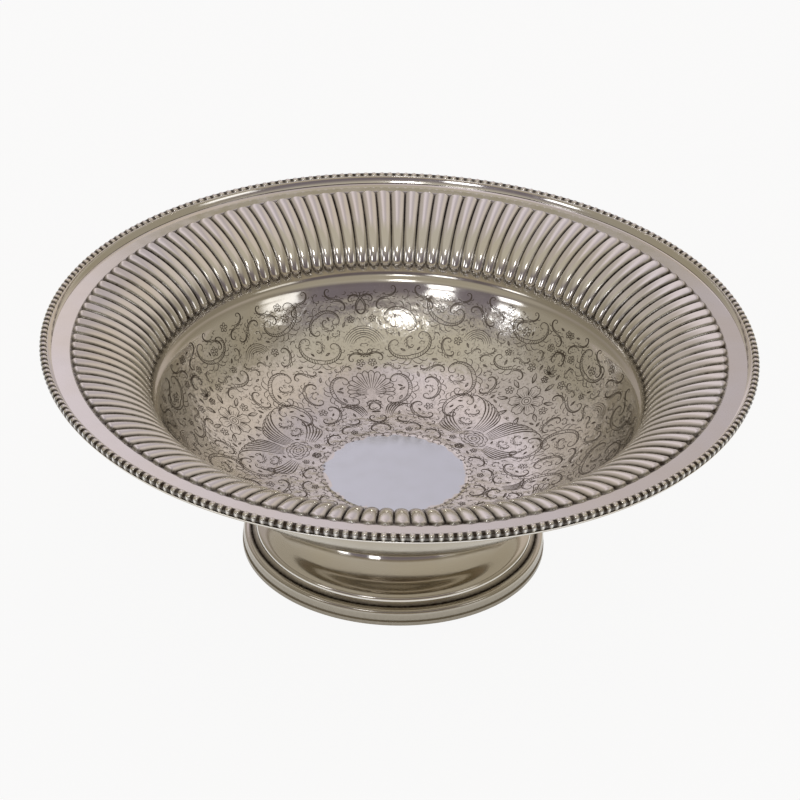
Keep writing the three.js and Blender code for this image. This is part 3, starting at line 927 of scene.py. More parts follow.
class Graver:
    """Cuts lines for half a repeat of the engraving.

    A motif is drawn flat in millimetres, x round the well and y outwards, and its anchor is a distance from
    the centre of the well along the surface and an angle in degrees from the flower's axis.
    """

    # size of a cell in millimetres, and cells out from the centre and aside from the axis
    CELL = 0.5
    GRID = (236, 224)

    def __init__(self, place, repeats):
        self.place = place
        self.half = math.pi / repeats
        self.cuts = []
        self.taken = np.zeros(self.GRID, bool)
        self.crowded = np.zeros(self.GRID, bool)

    def plan_radius(self, along):
        """Distances from the axis in millimetres."""
        return self.place.well(np.asarray(along, float) * MM)[0] / MM

    def lay(self, anchor, line):
        """A flat line laid on the well: distances along the surface and angles."""
        along = anchor[0] + line[:, 1]
        return along, math.radians(anchor[1]) + line[:, 0] / self.plan_radius(along)

    def cells(self, along, turn):
        """Grid cells of places, folded into half a repeat."""
        folded = np.abs((turn + self.half) % (2 * self.half) - self.half)
        round_way = folded * self.plan_radius(along)
        return (along / self.CELL).astype(int), (round_way / self.CELL).astype(int)

    def is_clear(self, anchor, line, grid):
        """Whether a line stays in the well and on free cells of a grid."""
        along, turn = self.lay(anchor, line)
        if along.min() < WELL_FIRST or along.max() > WELL_LAST:
            return False
        return not grid[self.cells(along, turn)].any()

    def cut(self, anchor, line, width, taper="both", on_axis=False):
        """Keeps a line and marks the cells that it takes and crowds."""
        along, turn = self.lay(anchor, line)
        t = np.linspace(0, 1, len(along))
        self.cuts.append((along, turn, width * TAPERS[taper](t), on_axis))
        fine = np.linspace(0, len(along) - 1, 3 * len(along) - 2)
        index = np.arange(len(along))
        out, aside = self.cells(np.interp(fine, index, along), np.interp(fine, index, turn))
        self.taken[out, aside] = True
        for step_out in (-1, 0, 1):
            for step_aside in (-1, 0, 1):
                self.crowded[out + step_out, np.abs(aside + step_aside)] = True

    def cut_all(self, anchor, lines, if_clear):
        """Cuts a motif's lines, or with if_clear only where all of them have room."""
        whole = np.concatenate([line for line, _, _ in lines])
        if if_clear and not self.is_clear(anchor, whole, self.crowded):
            return
        for line, width, taper in lines:
            self.cut(anchor, line, width, taper)

    def scroll(self, anchor, heading, size, turn=1, flip=1, lobes=4, tail=0.9, if_clear=False):
        """A C scroll, or with flip -1 an S scroll: a hatched ribbon with curled ends and a lobed back."""
        head = math.radians(heading)
        weight = min(1.0, 0.55 + 0.12 * size)
        lines = []
        for end in (1, -1):
            side = turn if end > 0 else -turn * flip
            reach = size if end > 0 else size * tail
            start = head if end > 0 else head + math.pi
            steps = 20 if size > 2 else 14
            spine = sweep((0, 0), start, 3.9 * reach, SCROLL_BENDS * side / reach, steps)
            lines.append((spine, BOLD * weight, "curl"))
            inner = 3 * steps // 4
            fade = np.linspace(1, 0.25, inner) * side * reach
            rail = beside(spine[:inner], 0.3 * fade)
            if reach > 1.7:
                lines.append((rail, LINE * weight, "end"))
            if reach > 2.5:
                lines += [(np.stack([spine[i], rail[i + 1]]), FINE, "none") for i in range(1, inner - 3)]
            way = ways(spine)
            for k in range(lobes):
                i = round(0.62 * steps * k / lobes)
                part = 1.0 - 0.13 * k
                lobe = sweep(spine[i], way[i] - side * 1.3, reach * part, LOBE_BENDS * side / reach / part, 7)
                lines.append((lobe, LINE * weight, "both"))
        self.cut_all(anchor, lines, if_clear)

    def plume(self, anchor, heading, size, bend, lines=7, gap=0.8):
        """A sheaf of long feathers that sweep from one root, each with a curled end."""
        head = math.radians(heading)
        turn = math.copysign(1, bend)
        side = np.array([-math.sin(head), math.cos(head)]) * turn
        for k in range(lines):
            bends = np.array([-0.3, 1.1, 1.9 + 0.3 * k]) * bend
            root = -side * gap * (k - lines / 2)
            feather = sweep(root, head - turn * 0.07 * k, size * (1 - 0.085 * k), bends)
            curl = sweep(feather[-1], ways(feather)[-1], 5.2 - 0.25 * k, FEATHER_END_BENDS * turn, 9)
            self.cut(anchor, np.concatenate([feather, curl[1:]]), BOLD if k % 3 == 0 else LINE)
            self.cut(anchor, beside(feather[3:13], np.linspace(0.05, 0.42, 10) * turn), FINE)

    def leaf(self, anchor, heading, size, width, ribs=3, if_clear=False):
        """A pointed leaf with a waved edge."""
        head = math.radians(heading)
        swell = math.atan2(width, size) * 1.7
        t = np.linspace(0, 1, 13)
        wave = 0.1 * width * np.abs(np.sin(3 * math.pi * t)) * np.sin(math.pi * t)
        lines = []
        for side in (1, -1):
            edge = sweep((0, 0), head + side * swell, size * 1.06, [-2 * side * swell / size] * 2, 13)
            normal = np.array([-math.sin(head), math.cos(head)]) * side
            lines.append((edge + normal * wave[:, None], LINE, "both"))
        for k in range(ribs):
            off = (k - (ribs - 1) / 2) * 0.33
            rib = sweep((0, 0), head + off, size * (0.78 - 0.2 * abs(off)), [-off * 0.18] * 2, 6)
            lines.append((rib, FINE, "end"))
        self.cut_all(anchor, lines, if_clear)

    def spray(self, anchor, heading, size, count):
        """Leaves that spread from one point."""
        for k in range(count):
            f = k - (count - 1) / 2
            self.leaf(anchor, heading + 38 * f, size * (1 - 0.12 * abs(f)), size * 0.3, 1)

    def curl(self, anchor, heading, size, turn, if_clear=False):
        """A hook with a shorter twin and two sprigs on its back."""
        head = math.radians(heading)
        hook = sweep((0, 0), head, 5.0 * size, HOOK_BENDS * turn / size, 12)
        lines = [(hook, FINE, "both")]
        if size > 0.9:
            lines.append((beside(hook[:9], np.linspace(0.1, 0.34, 9) * turn * size), FINE, "end"))
        way = ways(hook)
        for i in (3, 6):
            sprig = sweep(hook[i], way[i] - turn * 0.7, 0.95 * size, SPRIG_BENDS * turn / size, 4)
            lines.append((sprig, FINE, "end"))
        self.cut_all(anchor, lines, if_clear)

    def bud(self, anchor, heading, size, petals=5, if_clear=False):
        """A small flower with round petals."""
        t = np.linspace(0, 1, 7)
        reach = size * (0.4 + 0.6 * np.sin(math.pi * t) ** 0.5)
        lines = []
        for k in range(petals):
            spread = math.radians(heading) + (k + 0.92 * t) * 2 * math.pi / petals
            lines.append((polar(reach, spread), LINE, "none"))
        lines.append((polar(0.3 * size, 2 * math.pi * t), FINE, "none"))
        self.cut_all(anchor, lines, if_clear)

    def flower(self, anchor, radius, petals, turn=0.0, veins=3):
        """An open flower with lobed, veined petals, on an axis of the pattern."""
        half = math.pi / petals
        t = np.linspace(-1, 1, 11)
        reach = radius * (0.66 + 0.34 * np.sqrt(1 - t**2) - 0.05 * np.cos(3 * math.pi * t))
        reach[[0, -1]] = radius * 0.36
        for k in range(petals):
            middle = turn + 2 * half * k
            spread = middle + t * half * 0.97
            self.cut(anchor, polar(reach, spread), LINE, "none", True)
            for v in range(veins):
                vein = ray(middle + (v - (veins - 1) / 2) * half * 0.5, radius * 0.36, radius * 0.74, 4)
                self.cut(anchor, vein, FINE, "end", True)
        round_way = np.linspace(0, 2 * math.pi, 13)
        for part in (0.13, 0.27):
            self.cut(anchor, polar(part * radius, round_way), LINE, "none", True)

    def rose(self, anchor, radius):
        """A full flower of wavy petals inside each other, on an axis of the pattern."""
        for part, lobes, phase in ((1.0, 7, 0.0), (0.72, 6, 0.5), (0.46, 5, 0.2), (0.22, 4, 0.6)):
            for k in range(lobes):
                first = 2 * math.pi * (k + phase) / lobes
                t = np.linspace(-0.08, 1.04, 9)
                spread = first + t * 2 * math.pi / lobes
                swell = radius * part * (0.84 + 0.18 * np.sin(math.pi * np.clip(t, 0, 1)) ** 0.6)
                petal = np.stack([1.25 * swell * np.cos(spread), 0.9 * swell * np.sin(spread)], 1)
                self.cut(anchor, petal, LINE, "both", True)
                self.cut(anchor, petal[3:6] * 0.9, FINE, "both", True)

    def shell(self, anchor, radius, ribs):
        """A scallop shell with a lobed edge and two curls at its hinge, on an axis of the pattern."""
        fan = np.radians(np.linspace(-14, 194, ribs))
        t = np.linspace(0, 1, 6)
        for k, way in enumerate(fan):
            reach = radius * (0.86 + 0.14 * math.sin(way))
            self.cut(anchor, ray(way, 0.2 * reach, reach, 6), BOLD, "start", True)
            if k + 1 < ribs:
                spread = way + t * (fan[1] - fan[0])
                rim = radius * (0.86 + 0.14 * np.sin(spread)) * (1 + 0.12 * np.sin(math.pi * t))
                self.cut(anchor, polar(rim, spread), LINE, "none", True)
                middle = way + (fan[1] - fan[0]) / 2
                self.cut(anchor, ray(middle, 0.5 * reach, 0.9 * reach, 4), FINE, "both", True)
        for side in (1, -1):
            heading = math.pi / 2 - side * math.radians(105)
            curl = sweep((side * 1.5, -1.2), heading, 9, HINGE_BENDS * side, 14)
            self.cut(anchor, curl, LINE, "both", True)

    def arcs(self, anchor, radius, count, gap, low, high):
        """Nested arcs about one point."""
        way = np.radians(np.linspace(low, high, 12))
        for k in range(count):
            self.cut(anchor, polar(radius + gap * k, way), FINE if k % 2 else LINE)

    def fill(self, seed, stages):
        """Motifs in what room is left, in stages of a motif, its tries and its smallest and largest size."""
        random = np.random.default_rng(seed)
        turn_limit = math.degrees(self.half)
        probe_ways = np.linspace(0, 2 * math.pi, 6, endpoint=False)
        probe = np.concatenate([ray(way, 0, 0.8, 3) for way in probe_ways])
        for motif, tries, low, high in stages:
            for _ in range(tries):
                anchor = (random.uniform(FILL_FIRST, FILL_LAST), random.uniform(0, turn_limit))
                heading = random.uniform(0, 360)
                size = random.uniform(low, high)
                turn = random.choice([-1, 1])
                flip = random.choice([-1, 1, 1])
                if not self.is_clear(anchor, probe * size, self.crowded):
                    continue
                if motif == "scroll":
                    lobes = 4 if size > 2 else 2
                    self.scroll(anchor, heading, size, turn, flip, lobes, random.uniform(0.6, 0.95), True)
                elif motif == "curl":
                    self.curl(anchor, heading, size, turn, True)
                elif motif == "bud":
                    self.bud(anchor, heading, size, if_clear=True)
                else:
                    self.leaf(anchor, heading, 2.6 * size, 0.8 * size, 1, True)

    def stipple(self, seed, tries, first, last):
        """Punch dots that mat the ground of the outer band."""
        random = np.random.default_rng(seed)
        dot = np.array([[-0.2, 0.0], [0.2, 0.0]])
        for _ in range(tries):
            anchor = (random.uniform(first, last), random.uniform(0, math.degrees(self.half)))
            if self.is_clear(anchor, dot, self.taken):
                self.cut(anchor, dot, LINE, "none")


def draw_engraving(graver):
    """The layout of half a repeat: flower axis at 0 degrees, shell axis at the other edge."""
    edge = math.degrees(graver.half)
    for k in range(6):
        inward = k % 2 == 0
        graver.scroll((33.4 if inward else 32.6, 4.5 + 10.4 * k), 180 if inward else 0, 1.35,
                      1 if inward else -1, lobes=2)
    graver.rose((44.5, 0), 5.6)
    graver.plume((50.0, 3.5), 74, 25, -0.05, 7)
    graver.plume((43.0, 11.5), 28, 19, 0.062, 6)
    graver.scroll((39.5, 22), 200, 2.8)
    graver.flower((76.0, 0), 8.2, 6, math.radians(30), 5)
    for aside, out, heading in ((6.0, 79.5, 30), (6.6, 73.0, -25), (2.8, 84.4, 70), (3.2, 67.4, -68)):
        graver.leaf((out, aside), heading, 5.4, 2.0)
    graver.shell((62.0, edge), 11, 15)
    graver.scroll((62.5, 43.5), 95, 6.0, -1, lobes=5)
    graver.plume((47.0, 54.0), 110, 12, 0.10, 5, 0.7)
    graver.scroll((48.0, 40.0), 40, 4.2)
    graver.scroll((61.0, 28.0), 110, 5.6, lobes=5)
    graver.scroll((77.0, 22.0), 60, 6.4, -1, lobes=5)
    graver.scroll((80.5, 45), 165, 6.6, -1, lobes=5)
    graver.spray((91.5, 0), 90, 5.0, 5)
    graver.arcs((86.0, edge), 5.0, 6, 1.0, 20, 160)
    graver.scroll((99.5, 12.0), 175, 6.2, -1, lobes=5)
    graver.scroll((98.5, 38.0), 20, 6.2, 1, lobes=5)
    graver.arcs((92.0, 26), 3.2, 5, 0.9, 15, 165)
    for aside, turn in ((4.0, 1), (13.5, -1), (23.0, 1), (33.0, -1), (43.0, 1), (53.0, -1)):
        graver.scroll((109.0, aside), 0, 3.0, turn, -1, lobes=3)
    graver.fill(11, (
        ("scroll", 1500, 4.6, 6.2),
        ("scroll", 3000, 3.0, 4.2),
        ("scroll", 6000, 1.9, 2.8),
        ("bud", 1200, 1.5, 2.2),
        ("scroll", 9000, 1.2, 1.7),
        ("leaf", 2500, 0.8, 1.3),
        ("curl", 9000, 0.65, 1.0),
    ))
    graver.stipple(3, 500, 92, 111)


def engraved_lines(sizes, place):
    """The cut lines of half a repeat, each a thin strip on the face of the well."""
    graver = Graver(place, sizes.pattern_repeats)
    draw_engraving(graver)
    points, faces, both_sides = [], [], []
    start = 0
    for along, turn, width, on_axis in graver.cuts:
        radius, height, normal = place.well(along * MM)
        cos, sin = np.cos(turn), np.sin(turn)
        middle = np.stack([radius * cos, radius * sin, height + place.swell(radius)], 1)
        up = np.stack([normal[:, 0] * cos, normal[:, 0] * sin, normal[:, 1]], 1)
        way = np.gradient(middle, axis=0)
        side = np.cross(up, way)
        side *= (width * sizes.line_width / 2 / np.linalg.norm(side, axis=1))[:, None]
        points += [middle + side + up * CUT_LIFT, middle - side + up * CUT_LIFT]
        count = len(along)
        for i in range(count - 1):
            left, right = start + i, start + count + i
            faces.append((right, right + 1, left + 1, left))
        both_sides += [0.0 if on_axis else 1.0] * (2 * count)
        start += 2 * count
    return new_piece("engraved_lines", np.concatenate(points), faces, {"both_sides": both_sides})


def repeat_tree(material):
    """Mirrors the lines that aren't on an axis and repeats the whole round the well."""
    tree, given, output = geometry_tree("repeat_engraving", {
        "Repeats": "NodeSocketInt",
        "First Turn": "NodeSocketFloat",
    })
    is_both = calc(tree, "GREATER_THAN", attribute(tree, "both_sides"), 0.5)
    parted = add(tree, "GeometryNodeSeparateGeometry", {"Geometry": given["Geometry"], "Selection": is_both},
                 domain="FACE")
    mirrored = add(tree, "GeometryNodeTransform", {"Geometry": parted.outputs[0], "Scale": (1.0, -1.0, 1.0)})
    turned_out = add(tree, "GeometryNodeFlipFaces", {"Mesh": mirrored.outputs[0]})
    whole = joined(tree, given["Geometry"], turned_out.outputs[0])
    spots = add(tree, "GeometryNodePoints", {"Count": given["Repeats"]})
    step = calc(tree, "DIVIDE", 2 * math.pi, given["Repeats"])
    index = add(tree, "GeometryNodeInputIndex").outputs[0]
    turn = calc(tree, "MULTIPLY_ADD", index, step, given["First Turn"])
    close_tree(tree, copied(tree, spots.outputs[0], whole, turn), material, output)
    return tree


# Rim

# Faces of a bead and of the wire between the beads
BEAD_SEGMENTS = 10
BEAD_RINGS = 7
WIRE_STEPS_PER_BEAD = 6
WIRE_SIDES = 8

# Heights from a bead's centre, as parts of its radius, between which the painted shade on its lower half
# fades
BEAD_SHADE_RANGE = (-0.7, 0.2)

# Lean from above and inside to below and outside, half width of the painted shade in a gap at each, and its
# soft edge
GAP_LEAN = (-1.3, 1.0)
GAP_WIDTH = (0.56 * MM, 1.15 * MM)
GAP_EDGE = 0.15 * MM

# Handles of the hollow moulding at its foot and its head, as parts of its rise
CAVETTO_FOOT = np.array([0.2, 0.22])
CAVETTO_HEAD = np.array([0.14, 0.37])

# Stations along the hollow, the lip and the outer edge of the edge wire
CAVETTO_STATIONS = 13
LIP_STATIONS = 9
EDGE_STATIONS = 7


def gap_shade(tree, along, outward, up, reach):
    """Painted shade, with some tarnishing, about the middle of a gap between beads: a dot above and inside, a
    band below and outside.
    """
    lean = calc(tree, "DIVIDE", calc(tree, "SUBTRACT", outward, up), reach)
    width = mapped(tree, lean, *GAP_LEAN, *GAP_WIDTH)
    return falling(tree, calc(tree, "SUBTRACT", along, width), 0.0, GAP_EDGE)


def bead_tree(material):
    """Sets round beads side by side on a wire nearly filling the gaps; gaps and bead bottoms get painted
    shade.
    """
    tree, given, output = geometry_tree("set_beads", {
        "Beads": "NodeSocketInt",
        "Circle Radius": "NodeSocketFloat",
        "Centre Height": "NodeSocketFloat",
        "Bead Radius": "NodeSocketFloat",
        "Wire Radius": "NodeSocketFloat",
    })
    axes = axes_of(tree, add(tree, "GeometryNodeInputPosition").outputs[0])
    step = calc(tree, "DIVIDE", 2 * math.pi, given["Beads"])
    pitch = calc(tree, "MULTIPLY", step, given["Circle Radius"])
    height = add(tree, "ShaderNodeCombineXYZ", {2: given["Centre Height"]}).outputs[0]

    def level_circle(count):
        circle = add(tree, "GeometryNodeMeshCircle", {"Vertices": count, "Radius": given["Circle Radius"]})
        inputs = {"Geometry": circle.outputs[0], "Translation": height}
        return add(tree, "GeometryNodeTransform", inputs).outputs[0]

    sphere = add(tree, "GeometryNodeMeshUVSphere", {
        "Segments": BEAD_SEGMENTS,
        "Rings": BEAD_RINGS,
        "Radius": given["Bead Radius"],
    })
    to_gap = calc(tree, "SUBTRACT", calc(tree, "MULTIPLY", pitch, 0.5), calc(tree, "ABSOLUTE", axes[1]))
    dark = gap_shade(tree, to_gap, axes[0], axes[2], given["Bead Radius"])
    bead = stored(tree, sphere.outputs["Mesh"], "tarnish_and_shade", dark)
    # painted shade: each bead's lower half takes the dark film, where it would show the shadowed table
    lower_half_shade = falling(tree, calc(tree, "DIVIDE", axes[2], given["Bead Radius"]), *BEAD_SHADE_RANGE)
    bead = stored(tree, bead, "film_and_shade", lower_half_shade)
    turn = calc(tree, "MULTIPLY", add(tree, "GeometryNodeInputIndex").outputs[0], step)
    beads = copied(tree, level_circle(given["Beads"]), bead, turn)

    wire_steps = calc(tree, "MULTIPLY", given["Beads"], WIRE_STEPS_PER_BEAD)
    line = add(tree, "GeometryNodeMeshToCurve", {0: level_circle(wire_steps)})
    section = add(tree, "GeometryNodeCurvePrimitiveCircle", {
        "Resolution": WIRE_SIDES,
        "Radius": given["Wire Radius"],
    })
    wire = add(tree, "GeometryNodeCurveToMesh", {
        "Curve": line.outputs[0],
        "Profile Curve": section.outputs[0],
    })
    phase = calc(tree, "FRACT", calc(tree, "DIVIDE", calc(tree, "ARCTAN2", axes[1], axes[0]), step))
    off_gap = calc(tree, "ABSOLUTE", calc(tree, "SUBTRACT", phase, 0.5))
    off_gap = calc(tree, "MULTIPLY", off_gap, pitch)
    outward = calc(tree, "SUBTRACT", from_axis(tree, axes), given["Circle Radius"])
    up = calc(tree, "SUBTRACT", axes[2], given["Centre Height"])
    # the wire is darkened in the gaps as painted shade
    dark = gap_shade(tree, off_gap, outward, up, given["Wire Radius"])
    whole = joined(tree, beads, stored(tree, wire.outputs[0], "tarnish_and_shade", dark))
    close_tree(tree, whole, material, output)
    return tree


# Foot

# Painted shade on the foot, a dark film where the shadowed table and bowl would be seen in it: at its round
# shoulder, over the end of the hollow waist, and at two places under the bowl
FOOT_SHADE_FILM = (0.4, 0.0, 0.15, 1.0)
FOOT_SHADE_ABOVE_SCOTIA = 3 * MM
FOOT_SHADE_BELOW_BOWL = (13 * MM, 8 * MM)

# Painted shade on the base moulding, darker towards the table, as dark marks and film at parts of its height
BASE_HEIGHTS = (0.0, 0.7, 1.0)
BASE_SHADE = (0.45, 0.3, 0.0)
BASE_SHADE_FILM = (0.95, 0.9, 0.3)

# Stations along the quarter round of the base moulding
OVOLO_STATIONS = 17

# Dark joint between the foot and the base moulding
JOINT_GROOVE = 0.25 * MM
JOINT_WIDTH = 0.6 * MM

# Solder seams that the frame brings
SEAMS = ("rim_solder_seam", "foot_solder_seam", "base_solder_seam")


# Stage

# Size of the table, how much of its white is its own, and the width of the camera's sensor
TABLE_RADIUS = 6.0
TABLE_SIDES = 64
TABLE_DROP = 0.3 * MM
TABLE_WHITE = 0.92
SENSOR = 36.0

# Name, place, width and height, and power of each lamp, and the point that they face
LAMPS = (
    ("window_front", (0.0, -1.86, 2.30), (0.34, 0.38), 2.7),
    ("window_left", (-0.86, -2.37, 1.59), (0.50, 0.40), 2.2),
    ("window_far_left", (-2.12, -1.43, 1.44), (0.5, 0.4), 1.5),
    ("window_right", (2.34, -1.24, 1.26), (0.9, 0.5), 1.2),
)
LAMP_AIM = (0, 0, 0.08)

# Parts of a unit direction between which the room changes tone
PANEL_BLEND = (-0.12, 0.12)
PANEL_EDGE = (0.12, 0.4)
FAR_LEFT_EDGE = (-0.3, -0.1)
LOW_SPOT_SIDE = (0.06, 0.1)
LOW_SPOT_TOP = (0.48, 0.51)
LOW_SPOT_FOOT = (0.36, 0.42)
CEILING_EDGE = (0.5, 0.8)
FRONT_LOW_EDGE = (0.24, 0.36)
FRONT_TO_BACK = (-0.15, 0.2)
SIDE_WALL_EDGE = (0.6, 0.85)
HORIZON_EDGE = (0.0, 0.12)


# Operators


class DISH_OT_make_bowl(bpy.types.Operator):
    """Make the spun bowl and chase its fluted border"""

    bl_idname = "dish.make_bowl"
    bl_label = "Bowl"

    def execute(self, context):
        sizes = context.scene.dish_sizes
        place = Places(sizes)
        finish = silver_finish("chased_silver", context.scene.dish_colours, shine=0.10,
                               chased=(CENTRE_RADIUS, place.ring_inner))
        bowl = bowl_blank(sizes, place)
        grow(bowl, flute_tree(finish), {
            "Flutes": sizes.flute_count,
            "Rise": sizes.flute_rise,
            "Back Rise": sizes.flute_back_rise,
            "Sink": sizes.flute_sink,
            "Tip": sizes.flute_tip,
            "Head": sizes.flute_head,
        })
        bowl.data.set_sharp_from_angle(angle=FLUTE_CORNER)
        settle(bowl, "chased_silver", "bowl")
        return {"FINISHED"}


class DISH_OT_engrave_well(bpy.types.Operator):
    """Engrave scrolls, flowers and shells in the well, round a plain centre"""

    bl_idname = "dish.engrave_well"
    bl_label = "Engraving"

    def execute(self, context):
        sizes = context.scene.dish_sizes
        finish = plain_finish("engraved_cut", context.scene.dish_colours.cut, metallic=0.9, rough=0.38,
                              scale=300.0, change=0.4)
        lines = engraved_lines(sizes, Places(sizes))
        grow(lines, repeat_tree(finish), {
            "Repeats": sizes.pattern_repeats,
            "First Turn": sizes.pattern_turn,
        })
        settle(lines, "chased_silver")
        return {"FINISHED"}


class DISH_OT_make_rim(bpy.types.Operator):
    """Make the row of beads and the moulded wire under it"""

    bl_idname = "dish.make_rim"
    bl_label = "Rim"

    def execute(self, context):
        sizes = context.scene.dish_sizes
        place = Places(sizes)
        finish = silver_finish("silver_wire", context.scene.dish_colours, shine=0.10)
        beads = new_piece("rim_beads", [], [])
        grow(beads, bead_tree(finish), {
            "Beads": sizes.bead_count,
            "Circle Radius": place.bead_circle,
            "Centre Height": place.bead_z,
            "Bead Radius": sizes.bead_diameter / 2,
            "Wire Radius": sizes.bead_wire / 2,
        })
        settle(beads, "silver_wire", "rim_bead_wire")
        self.make_edge(sizes, place, finish)
        return {"FINISHED"}

    def make_edge(self, sizes, place, finish):
        """The moulded wire: hollow face, round lip, and the ledge under the beads."""
        low = place.flange_z + sizes.cavetto_edge
        round_lip = sizes.lip_width / 2
        round_edge = sizes.ledge_thickness / 2
        lip_low = place.lip_z - round_lip
        first = np.array([place.flange_outer + sizes.cavetto_set_back, low])
        last = np.array([place.lip_inner, lip_low])
        rise = lip_low - low
        cavetto = [first, first + CAVETTO_FOOT * rise, last - CAVETTO_HEAD * rise, last]
        hollow = bezier(cavetto, np.linspace(0, 1, CAVETTO_STATIONS))[0]
        over = np.linspace(math.pi, 0, LIP_STATIONS)
        lip_x = place.lip_outer - round_lip * (1 - np.cos(over))
        lip = np.stack([lip_x, lip_low + round_lip * np.sin(over)], 1)
        down = np.linspace(math.pi / 2, -math.pi / 2, EDGE_STATIONS)
        edge_x = place.wire_outer - round_edge * (1 - np.cos(down))
        edge = np.stack([edge_x, place.flange_z + round_edge * (1 + np.sin(down))], 1)
        foot = (first[0], place.flange_z)
        corner = (place.lip_outer, place.ledge_z)
        section = np.concatenate([[foot], hollow, lip[1:], [corner], edge])
        # dark lines where the wire meets the flange, a dark joint, and in the corner under the beads, painted
        # contact shade
        tarnish_and_shade = np.zeros(len(section))
        at_foot = 0
        at_corner = len(hollow) + len(lip)
        tarnish_and_shade[[at_foot, at_corner]] = 1.0
        wire = turned("rim_edge", section, tarnish_and_shade, np.zeros(len(section)), PLAIN_STEPS)
        dress(wire, finish)
        settle(wire, "silver_wire", "rim_edge_wire")


class DISH_OT_make_foot(bpy.types.Operator):
    """Make the pedestal foot and the moulding round its base"""

    bl_idname = "dish.make_foot"
    bl_label = "Foot"

    def execute(self, context):
        sizes = context.scene.dish_sizes
        place = Places(sizes)
        # the foot's light shade_tone is painted shade all over
        finish = silver_finish("spun_silver", context.scene.dish_colours, shine=0.09, spun=0.5, shade_tone=0.05)
        self.make_pedestal(sizes, place, finish)
        self.make_base(sizes, place, finish)
        return {"FINISHED"}

    def make_pedestal(self, sizes, place, finish):
        """The hollow foot, from the bowl down to its skirt and back up inside."""
        face, normals = foot_face(sizes, place)
        inner = (face - normals * sizes.sheet)[1:]
        top = sizes.base_height
        section = np.concatenate([
            [(sizes.foot_top_diameter / 2 - sizes.sheet, place.foot_top_z)],
            face,
            [(place.skirt, top)],
            [(place.skirt, sizes.skirt_lift)],
            [(place.skirt - sizes.sheet, sizes.skirt_lift)],
            [(place.skirt - sizes.sheet, top - sizes.sheet)],
            inner[::-1],
        ])
        at_skirt = len(face) + 1
        tarnish_and_shade = np.zeros(len(section))
        tarnish_and_shade[at_skirt] = 1.0
        # painted shade: the dark film lies where the foot would show the shadowed table and the bowl's
        # underside
        film_heights = (
            sizes.ogee_height,
            sizes.scotia_height + FOOT_SHADE_ABOVE_SCOTIA,
            place.foot_top_z - FOOT_SHADE_BELOW_BOWL[0],
            place.foot_top_z - FOOT_SHADE_BELOW_BOWL[1],
        )
        film_and_shade = np.interp(section[:, 1], film_heights, FOOT_SHADE_FILM)
        foot = turned("pedestal_foot", section, tarnish_and_shade, film_and_shade, FOOT_STEPS)
        dress(foot, finish)
        settle(foot, "spun_silver", "foot")

    def make_base(self, sizes, place, finish):
        """The solid moulding: dark joint, flat top, quarter round, small step and plain band."""
        shoulder = (place.base_inner + sizes.base_top, sizes.base_height)
        corner = (place.base + sizes.base_step, sizes.base_height)
        step = (place.base - sizes.base_step, sizes.base_fillet + sizes.base_step)
        ovolo = bezier([shoulder, corner, step], np.linspace(0, 1, OVOLO_STATIONS))[0]
        joint = [
            (place.base_inner, sizes.base_height - JOINT_GROOVE),
            (place.base_inner + JOINT_GROOVE, sizes.base_height),
            (place.base_inner + JOINT_WIDTH, sizes.base_height),
        ]
        section = np.concatenate([
            joint,
            ovolo,
            [(place.base, sizes.base_fillet)],
            [(place.base, 0.0)],
            [(place.base_inner, 0.0)],
        ])
        heights = section[:, 1] / sizes.base_height
        # painted shade: darker towards the table, whose shadowed part would be seen in it; the joint is dark
        # as a real joint
        tarnish_and_shade = np.interp(heights, BASE_HEIGHTS, BASE_SHADE)
        tarnish_and_shade[:len(joint)] = 1.0
        film_and_shade = np.interp(heights, BASE_HEIGHTS, BASE_SHADE_FILM)
        base = turned("base_moulding", section, tarnish_and_shade, film_and_shade, FOOT_STEPS)
        dress(base, finish)
        settle(base, "spun_silver", "foot_base_moulding")


class DISH_OT_finish_seams(bpy.types.Operator):
    """Give the solder seams of the frame their finish"""

    bl_idname = "dish.finish_seams"
    bl_label = "Solder seams"

    def execute(self, context):
        finish = plain_finish("silver_solder", context.scene.dish_colours.solder, metallic=1.0, rough=0.42,
                              scale=260.0, change=0.18)
        for name in SEAMS:
            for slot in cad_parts[name].material_slots:
                slot.material = finish
        return {"FINISHED"}


